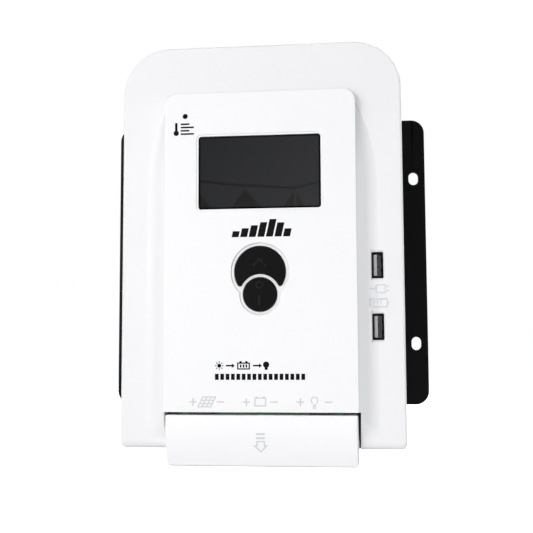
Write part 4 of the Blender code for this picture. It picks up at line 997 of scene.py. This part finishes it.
def device_strokes(name):
    """The strokes of a panel, a battery or a lamp: their width and their lines, in millimetres."""
    if name == "panel":
        rows = [-2.5 + 1.67 * i for i in range(4)]
        lines = [(-3.55 + z / 2, z, 3.55 + z / 2, z) for z in rows]
        for row in rows[:3]:
            low, high = row + 0.25, row + 1.4
            lines += [(x + low / 2, low, x + high / 2, high) for x in (-3.3, -1.1, 1.1, 3.3)]
        return [(0.45, lines)]
    if name == "battery":
        case = [(-3.0, z, 3.0, z) for z in (-1.95, 1.95)] + [(x, -1.65, x, 1.65) for x in (-2.7, 2.7)]
        return [(0.55, case), (0.5, [(x - 0.4, 2.5, x + 0.4, 2.5) for x in (-1.9, 1.9)])]
    ring = []
    for i in range(12):
        start, end = arc((0.0, 0.9), 1.7, 25 * i - 60, 25 * (i + 0.98) - 60, 1)
        ring.append((*start, *end))
    return [(0.5, ring), (0.45, [(-0.9, z, 0.9, z) for z in (-1.4, -2.2, -3.0)])]


def polarity_marks(material):
    """Plus, device and minus for each pair of terminals: panel, battery and lamp."""
    signs = [(-9.0, 0, -5.2, 0), (-7.1, -1.9, -7.1, -0.3), (-7.1, 0.3, -7.1, 1.9), (5.2, 0, 9.0, 0)]
    for index, name in enumerate(("panel", "battery", "lamp")):
        x, z = (index - 1) * POLE_PAIR_PITCH + 0.2 * MM, SEAM_TOP + 5.2 * MM
        shapes = [relief(stroke) for width, lines in [(0.6, signs)] + device_strokes(name)
                  for stroke in strokes(x, z, width, lines)]
        add_piece(merged(shapes), name + "_mark", material, "housing")


def slide_arrow_mark(material):
    """Two stripes and an arrow on the cover that show which way it slides off."""
    x, z = 0.2 * MM, COVER_TOP - 9.4 * MM
    stripes = strokes(x, z, 0.8, [(-2.2, 0.0, 2.2, 0.0), (-2.2, -2.1, 2.2, -2.1)])
    corners = ((-2.2, 3.6), (-2.2, 5.8), (-3.7, 5.8), (0.0, 9.5), (3.7, 5.8), (2.2, 5.8), (2.2, 3.6))
    outline = [(x + across * MM, z - down * MM) for across, down in corners]
    solids = [prism(points, -STRIPE_RISE, 0.15 * MM) for points in (*stripes, outline)]
    solids[-1] = cut(solids[-1], prism(offset_outline(outline, -0.55 * MM), -MM, MM))
    mesh = laid_on(merged(solids), lambda x, z: cover_face_y(z))
    add_piece(mesh, "slide_arrow_mark", material, "terminal_cover")


def usb_mark(material):
    """A plug and a battery, moulded on the body between the two sockets."""
    upper, lower = [centre_of("usb_shell_" + name) for name in USB_NAMES]
    plug = [(-1.5, 5.6, 3.6, 5.6), (-1.5, 1.6, 3.6, 1.6), (-1.5, 1.95, -1.5, 5.25), (3.3, 1.95, 3.3, 5.25),
            (-5.0, 3.6, -1.85, 3.6), (3.65, 4.7, 5.3, 4.7), (3.65, 2.5, 5.3, 2.5)]
    battery = [(-5.0, -1.6, 4.4, -1.6), (-5.0, -5.6, 4.4, -5.6), (-4.7, -1.95, -4.7, -5.25),
               (4.1, -1.95, 4.1, -5.25), (4.9, -3.0, 4.9, -4.2)]
    battery += [(x, -2.6, x, -4.6) for x in (-2.9, -0.9, 1.1)]
    outlines = strokes(upper.x + 0.4 * MM, (upper.z + lower.z) / 2, 0.6, plug + battery)
    mesh = laid_on(merged([relief(outline, 0.0) for outline in outlines]), body_face_y)
    add_piece(mesh, "usb_mark", material, "housing")


# ---------------------------------------------------------------- materials

def set_inputs(tree, node, inputs):
    """Sets a node's inputs to values, or links them to other nodes' outputs."""
    for key, value in inputs.items():
        if isinstance(value, bpy.types.NodeSocket):
            tree.links.new(value, node.inputs[key])
        else:
            node.inputs[key].default_value = value


def add_node(tree, kind, inputs=None, **settings):
    node = tree.nodes.new(kind)
    for key, value in settings.items():
        setattr(node, key, value)
    set_inputs(tree, node, inputs or {})
    return node


def coordinates(tree, stretch=(1.0, 1.0, 1.0)):
    """Object coordinates in metres, stretched along the axes."""
    source = add_node(tree, "ShaderNodeTexCoord")
    mapping = add_node(tree, "ShaderNodeMapping", {"Vector": source.outputs["Object"], "Scale": stretch})
    return mapping.outputs["Vector"]


def split_coordinates(tree, kind="Object"):
    """The X, Y and Z of one kind of texture coordinates."""
    source = add_node(tree, "ShaderNodeTexCoord")
    return add_node(tree, "ShaderNodeSeparateXYZ", {"Vector": source.outputs[kind]}).outputs


def noise(tree, vector, scale, detail=3.0, roughness=0.55):
    node = add_node(tree, "ShaderNodeTexNoise",
                    {"Vector": vector, "Scale": scale, "Detail": detail, "Roughness": roughness})
    return node.outputs["Fac"]


def calculate(tree, operation, first, second=0.0):
    return add_node(tree, "ShaderNodeMath", {0: first, 1: second}, operation=operation).outputs[0]


def spread(tree, value, low, high, start=0.3, end=0.7):
    """A value from start to end mapped to the range from low to high."""
    node = add_node(tree, "ShaderNodeMapRange",
                    {"Value": value, "From Min": start, "From Max": end, "To Min": low, "To Max": high})
    return node.outputs["Result"]


def mix_colours(tree, factor, first, second):
    return add_node(tree, "ShaderNodeMix", {0: factor, 6: first, 7: second}, data_type="RGBA").outputs[2]


def mix_values(tree, factor, first, second):
    return add_node(tree, "ShaderNodeMix", {0: factor, 2: first, 3: second}, data_type="FLOAT").outputs[0]


def bump(tree, height, strength, distance=0.03 * MM):
    node = add_node(tree, "ShaderNodeBump", {"Height": height, "Strength": strength, "Distance": distance})
    return node.outputs["Normal"]


def grey(value):
    return (value, value, value, 1.0)


def drifting(tree, factor, colour, low, high):
    """A colour that drifts between a darker and a lighter tone of itself."""
    dark, light = [(*(min(1.0, channel * tone) for channel in colour), 1.0) for tone in (low, high)]
    return mix_colours(tree, spread(tree, factor, 0.0, 1.0), dark, light)


def new_material(name):
    material = bpy.data.materials.new(name)
    material.use_nodes = True
    tree = material.node_tree
    return material, tree, tree.nodes["Principled BSDF"]


def moulded_plastic(name, colour, roughness=0.45, grain=0.25, grain_scale=1500.0, variation=0.03,
                    specular=0.5):
    """Moulded plastic: a fine spark-eroded grain, slight colour drift and uneven gloss."""
    material, tree, shader = new_material(name)
    vector = coordinates(tree)
    fine = noise(tree, vector, grain_scale, 2.0, 0.6)
    set_inputs(tree, shader, {
        "Base Color": drifting(tree, noise(tree, vector, 22.0, 2.0), colour, 1 - variation, 1 + variation),
        "Specular IOR Level": specular,
        "Roughness": spread(tree, fine, roughness - 0.06, roughness + 0.06),
        "Normal": bump(tree, fine, grain),
    })
    return material


def white_plastic():
    """White moulded plastic, painted a shade lighter towards the front than on the recessed body: painted
    light.
    """
    material = moulded_plastic("white_abs", (0.81, 0.81, 0.815), 0.42, 0.22, variation=0.008)
    tree = material.node_tree
    base = tree.nodes["Principled BSDF"].inputs["Base Color"]
    # painted light: the colour lightens from the body's face forward to the console's face
    painted_front_light = spread(tree, split_coordinates(tree)["Y"], 1.0, 0.0, CONSOLE_Y, PLATE_Y)
    tree.links.new(mix_colours(tree, painted_front_light, base.links[0].from_socket, (0.85, 0.85, 0.852, 1.0)), base)
    return material


def anodised_metal(name, colour, metallic, roughness, specular=0.5):
    """Extruded metal: long die lines along Z under a fine etched grain."""
    material, tree, shader = new_material(name)
    lines = noise(tree, coordinates(tree, (1.0, 1.0, 0.02)), 900.0)
    both = calculate(tree, "ADD", lines, noise(tree, coordinates(tree), 2200.0, 2.0))
    set_inputs(tree, shader, {
        "Base Color": drifting(tree, lines, colour, 0.8, 1.3),
        "Metallic": metallic,
        "Specular IOR Level": specular,
        "Roughness": spread(tree, both, roughness - 0.07, roughness + 0.09, 0.7, 1.3),
        "Normal": bump(tree, both, 0.3),
    })
    return material


def metal(name, colour, roughness, stretch=(1.0, 1.0, 1.0)):
    """Bare or plated metal with brushed or rolled streaks and faint stains."""
    material, tree, shader = new_material(name)
    streaks = noise(tree, coordinates(tree, stretch), 700.0, 4.0)
    set_inputs(tree, shader, {
        "Base Color": drifting(tree, noise(tree, coordinates(tree), 140.0), colour, 0.82, 1.08),
        "Metallic": 1.0,
        "Roughness": spread(tree, streaks, roughness - 0.08, roughness + 0.12),
        "Normal": bump(tree, streaks, 0.2, 0.02 * MM),
    })
    return material


def lens_material():
    """Dark polished lens: a black border round a display area with a painted reflection that lightens it
    towards its lower right.
    """
    material, tree, shader = new_material("polished_dark_lens")
    place = split_coordinates(tree)
    edges = []
    for axis, low, high in (("X", LENS_LOW.x, LENS_HIGH.x), ("Z", LENS_LOW.y, LENS_HIGH.y)):
        away = calculate(tree, "ABSOLUTE", calculate(tree, "SUBTRACT", place[axis], (low + high) / 2))
        half = (high - low) / 2
        edges.append(spread(tree, away, 0.0, 1.0, half - 0.9 * MM, half - 0.5 * MM))
    border = calculate(tree, "MAXIMUM", *edges)
    # painted reflection: the display area's colour lightens towards its lower right
    slope = calculate(tree, "SUBTRACT", place["X"], place["Z"])
    towards = spread(tree, slope, 0.0, 1.0, LENS_LOW.x - LENS_HIGH.y, LENS_HIGH.x - LENS_LOW.y)
    area = mix_colours(tree, towards, grey(0.008), grey(0.022))
    set_inputs(tree, shader, {
        "Base Color": mix_colours(tree, border, area, grey(0.0008)),
        "Roughness": spread(tree, noise(tree, coordinates(tree), 60.0), 0.0, 0.012),
        "Specular IOR Level": spread(tree, border, 0.5, 0.15, 0.0, 1.0),
    })
    return material


def board_material():
    """Solder mask over a faint web of tracks."""
    material, tree, shader = new_material("solder_mask")
    cells = add_node(tree, "ShaderNodeTexVoronoi", {"Vector": coordinates(tree), "Scale": 260.0},
                     feature="DISTANCE_TO_EDGE")
    tracks = spread(tree, cells.outputs["Distance"], 1.0, 0.0, 0.02, 0.08)
    set_inputs(tree, shader, {
        "Base Color": mix_colours(tree, tracks, (0.008, 0.10, 0.035, 1.0), (0.02, 0.20, 0.075, 1.0)),
        "Roughness": 0.35,
        "Normal": bump(tree, tracks, 0.4, 0.04 * MM),
    })
    return material


def make_materials():
    return {
        "white": white_plastic(),
        # painted light: the cover's white is a lighter copy of the body's white, to brighten the cover
        "cover_white": moulded_plastic("cover_abs_painted_light", (0.885, 0.885, 0.887), 0.42, 0.22, variation=0.008),
        # painted shade: the moulded reliefs are tinted grey in place of the shading of their edges, the USB
        # marks more lightly
        "grey_relief": moulded_plastic("relief_painted_shade", (0.605, 0.62, 0.655), 0.5, 0.15),
        "pale_relief": moulded_plastic("relief_painted_shade_pale", (0.67, 0.685, 0.71), 0.5, 0.15),
        "ink": moulded_plastic("black_ink", (0.003, 0.003, 0.003), 0.5, 0.1, specular=0.1),
        "key": moulded_plastic("key_silicone", (0.003, 0.003, 0.003), 0.32, 0.25, 1800.0, 0.1, 0.11),
        "key_mark": moulded_plastic("key_relief", (0.0035, 0.0035, 0.0035), 0.28, 0.1, 1800.0, 0.1, 0.24),
        "black_metal": anodised_metal("black_anodised", (0.0018, 0.0018, 0.002), 0.0, 0.36, 0.12),
        "aluminium": anodised_metal("bare_aluminium", (0.70, 0.71, 0.72), 1.0, 0.35),
        "lens": lens_material(),
        "steel": metal("nickel_plate", (0.66, 0.65, 0.63), 0.3),
        # painted shade: the socket sheet is nearly black so that the sockets read dark inside
        "socket": metal("socket_sheet", (0.028, 0.028, 0.03), 0.35),
        "tongue": moulded_plastic("tongue_plastic", (0.34, 0.34, 0.35), 0.4, 0.2, 1300.0),
        "gold": metal("gold_contact", (0.85, 0.74, 0.52), 0.25),
        "copper": metal("tinned_copper", (0.78, 0.42, 0.25), 0.32, (1.0, 1.0, 0.05)),
        "terminal": moulded_plastic("terminal_green", (0.02, 0.22, 0.09), 0.42, 0.2, 1300.0, 0.06),
        "board": board_material(),
        "dark": moulded_plastic("epoxy_black", (0.02, 0.02, 0.022), 0.5, 0.4, 1400.0, 0.1),
        "light": moulded_plastic("natural_plastic", (0.62, 0.62, 0.60), 0.45, 0.2, 1300.0),
        "stack": moulded_plastic("display_stack", (0.05, 0.055, 0.06), 0.3, 0.1, 900.0, 0.05),
        "ferrite": moulded_plastic("ferrite", (0.05, 0.05, 0.055), 0.7, 0.8, 900.0, 0.2),
    }


CAD_FINISHES = {
    "aluminium": ("heat_spreader",),
    "stack": ("lcd_module",),
    "board": ("display_board", "main_board", "usb_board"),
    "dark": ("up_switch_body", "power_switch_body", "temp_sensor", "mosfet_", "capacitor_"),
    "light": ("up_switch_plunger", "power_switch_plunger", "blade_fuse", "display_ribbon"),
    "steel": ("clamp_cage_", "board_screw_"),
    "terminal": ("terminal_block",),
    "copper": ("current_bar_", "inductor_winding"),
    "ferrite": ("inductor_core",),
}
UNBEVELLED = ("inductor_", "display_ribbon", "temp_sensor", "capacitor_")


def finish_cad_nodes(materials):
    """Materials and small edge roundings for the CAD nodes that stay on show."""
    for key, prefixes in CAD_FINISHES.items():
        for name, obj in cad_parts.items():
            if not name.startswith(prefixes):
                continue
            obj.data.materials.clear()
            obj.data.materials.append(materials[key])
            if name.startswith(UNBEVELLED):
                obj.modifiers.new("Smooth", "WEIGHTED_NORMAL")
            else:
                add_bevel(obj, 0.15 * MM)


# ---------------------------------------------------------------- stage

def world_light():
    """A plain white studio: bright behind the object, dimmer in what its front reflects."""
    world = bpy.data.worlds.new("studio")
    bpy.context.scene.world = world
    world.use_nodes = True
    tree = world.node_tree
    path = add_node(tree, "ShaderNodeLightPath").outputs
    direction = split_coordinates(tree, "Generated")
    reflected = spread(tree, direction["Y"], FRONT_REFLECTION, BACK_REFLECTION, -0.3, 0.4)
    light = mix_values(tree, path["Is Glossy Ray"], WORLD_LIGHT, reflected)
    set_inputs(tree, tree.nodes["Background"], {
        "Strength": mix_values(tree, path["Is Camera Ray"], light, 1.0),
        "Color": mix_colours(tree, path["Is Camera Ray"], WORLD_TINT, grey(1.0)),
    })


def area_light(name, place, target, size, power):
    data = bpy.data.lights.new(name, "AREA")
    data.shape = "DISK"
    data.size = size
    data.color = LAMP_TINT
    data.energy = power
    light = new_object(name, data)
    light.location = place
    light.rotation_euler = (Vector(target) - Vector(place)).to_track_quat("-Z", "Y").to_euler()
    light.visible_camera = False
    return light


def stage_sheet(name, corners, material, unseen_by=()):
    """A flat sheet of the stage that some kinds of rays pass through."""
    mesh = bpy.data.meshes.new(name)
    mesh.from_pydata(corners, [], [range(len(corners))])
    mesh.materials.append(material)
    obj = new_object(name, mesh)
    for rays in unseen_by:
        setattr(obj, "visible_" + rays, False)


def level_corners(reach, front, back, z):
    return [(-reach, front, z), (reach, front, z), (reach, back, z), (-reach, back, z)]


def floor():
    """A white floor that the camera sees as bright as the background, with only a soft contact shadow."""
    material, tree, shader = new_material("floor_white")
    speckle = noise(tree, coordinates(tree), 30.0)
    path = add_node(tree, "ShaderNodeLightPath").outputs
    set_inputs(tree, shader, {
        "Base Color": mix_colours(tree, speckle, grey(0.86), grey(0.88)),
        "Roughness": 0.6,
        "Emission Color": grey(1.0),
        "Emission Strength": mix_values(tree, path["Is Camera Ray"], 0.0, FLOOR_GLOW),
    })
    stage_sheet("floor", level_corners(FLOOR_REACH, -FLOOR_REACH, FLOOR_REACH, FLOOR_Z), material)


def contact_card():
    """A black card close under the object, which only its underside sees, that grounds the lower edges."""
    material, tree, shader = new_material("card_black")
    set_inputs(tree, shader, {"Base Color": grey(0.02)})
    corners = level_corners(NOTCH_RIGHT + 5 * MM, CONSOLE_Y + COVER_CURVE_BACK, -5 * MM,
                            COVER_BOTTOM - 0.6 * MM)
    stage_sheet("contact_card", corners, material, ("camera", "glossy", "shadow"))


def reflection_cards():
    """Dim cards that only the display's lens mirrors: a slanting edge and three peaks."""
    material, tree, shader = new_material("card_grey")
    set_inputs(tree, shader, {"Base Color": grey(0.0), "Specular IOR Level": 0.0, "Emission Color": grey(1.0),
                              "Emission Strength": CARD_GLOW})
    width, height = LENS_HIGH - LENS_LOW
    for index, outline in enumerate(CARD_OUTLINES):
        corners = []
        for across, down in outline:
            x, z = LENS_LOW.x + width * across, LENS_HIGH.y - height * down
            corners.append((x + (x - CAMERA_PLACE[0]) * CARD_REACH, CARD_Y,
                            z + (z - CAMERA_PLACE[2]) * CARD_REACH))
        stage_sheet(f"card_{index}", corners, material, ("camera", "diffuse", "shadow"))


def camera():
    data = bpy.data.cameras.new("camera")
    data.lens = CAMERA_LENS
    data.sensor_width = CAMERA_SENSOR
    data.clip_start = 0.01
    obj = new_object("camera", data)
    turn = Matrix.Rotation(math.radians(CAMERA_YAW), 4, "Z")
    tilt = Matrix.Rotation(math.radians(90 + CAMERA_PITCH), 4, "X")
    roll = Matrix.Rotation(math.radians(CAMERA_ROLL), 4, "Z")
    obj.matrix_world = Matrix.Translation(CAMERA_PLACE) @ turn @ tilt @ roll
    bpy.context.scene.camera = obj


def studio():
    bpy.context.scene.view_settings.view_transform = "Standard"
    world_light()
    floor()
    lamps = {lamp[0]: area_light(*lamp) for lamp in LAMPS}
    low = lamps["low"]
    low.data.shape = "RECTANGLE"
    low.data.size_y = LOW_LAMP_HEIGHT
    low.visible_glossy = False
    contact_card()
    reflection_cards()
    camera()


# ---------------------------------------------------------------- assembly

def build():
    materials = make_materials()
    finish_cad_nodes(materials)
    front_housing(materials["white"])
    rear_housing(materials["white"])
    terminal_cover(materials["cover_white"], materials["dark"])
    gap_shade_strips(materials["dark"])
    finned_heatsink(materials["black_metal"])
    display_lens(materials["lens"])
    keys(materials["key"])
    key_marks(materials["key_mark"])
    for name in USB_NAMES:
        usb_socket(name, materials["socket"], materials["tongue"], materials["gold"])
    terminal_screws(materials["steel"])
    housing_screws(materials["steel"])
    thermometer_mark(materials["ink"])
    power_curve_mark(materials["ink"])
    energy_mark(materials["ink"])
    # the grey and pale reliefs carry painted shade for their edges
    polarity_marks(materials["grey_relief"])
    slide_arrow_mark(materials["grey_relief"])
    usb_mark(materials["pale_relief"])
    studio()


build()
bpy.context.view_layer.update()
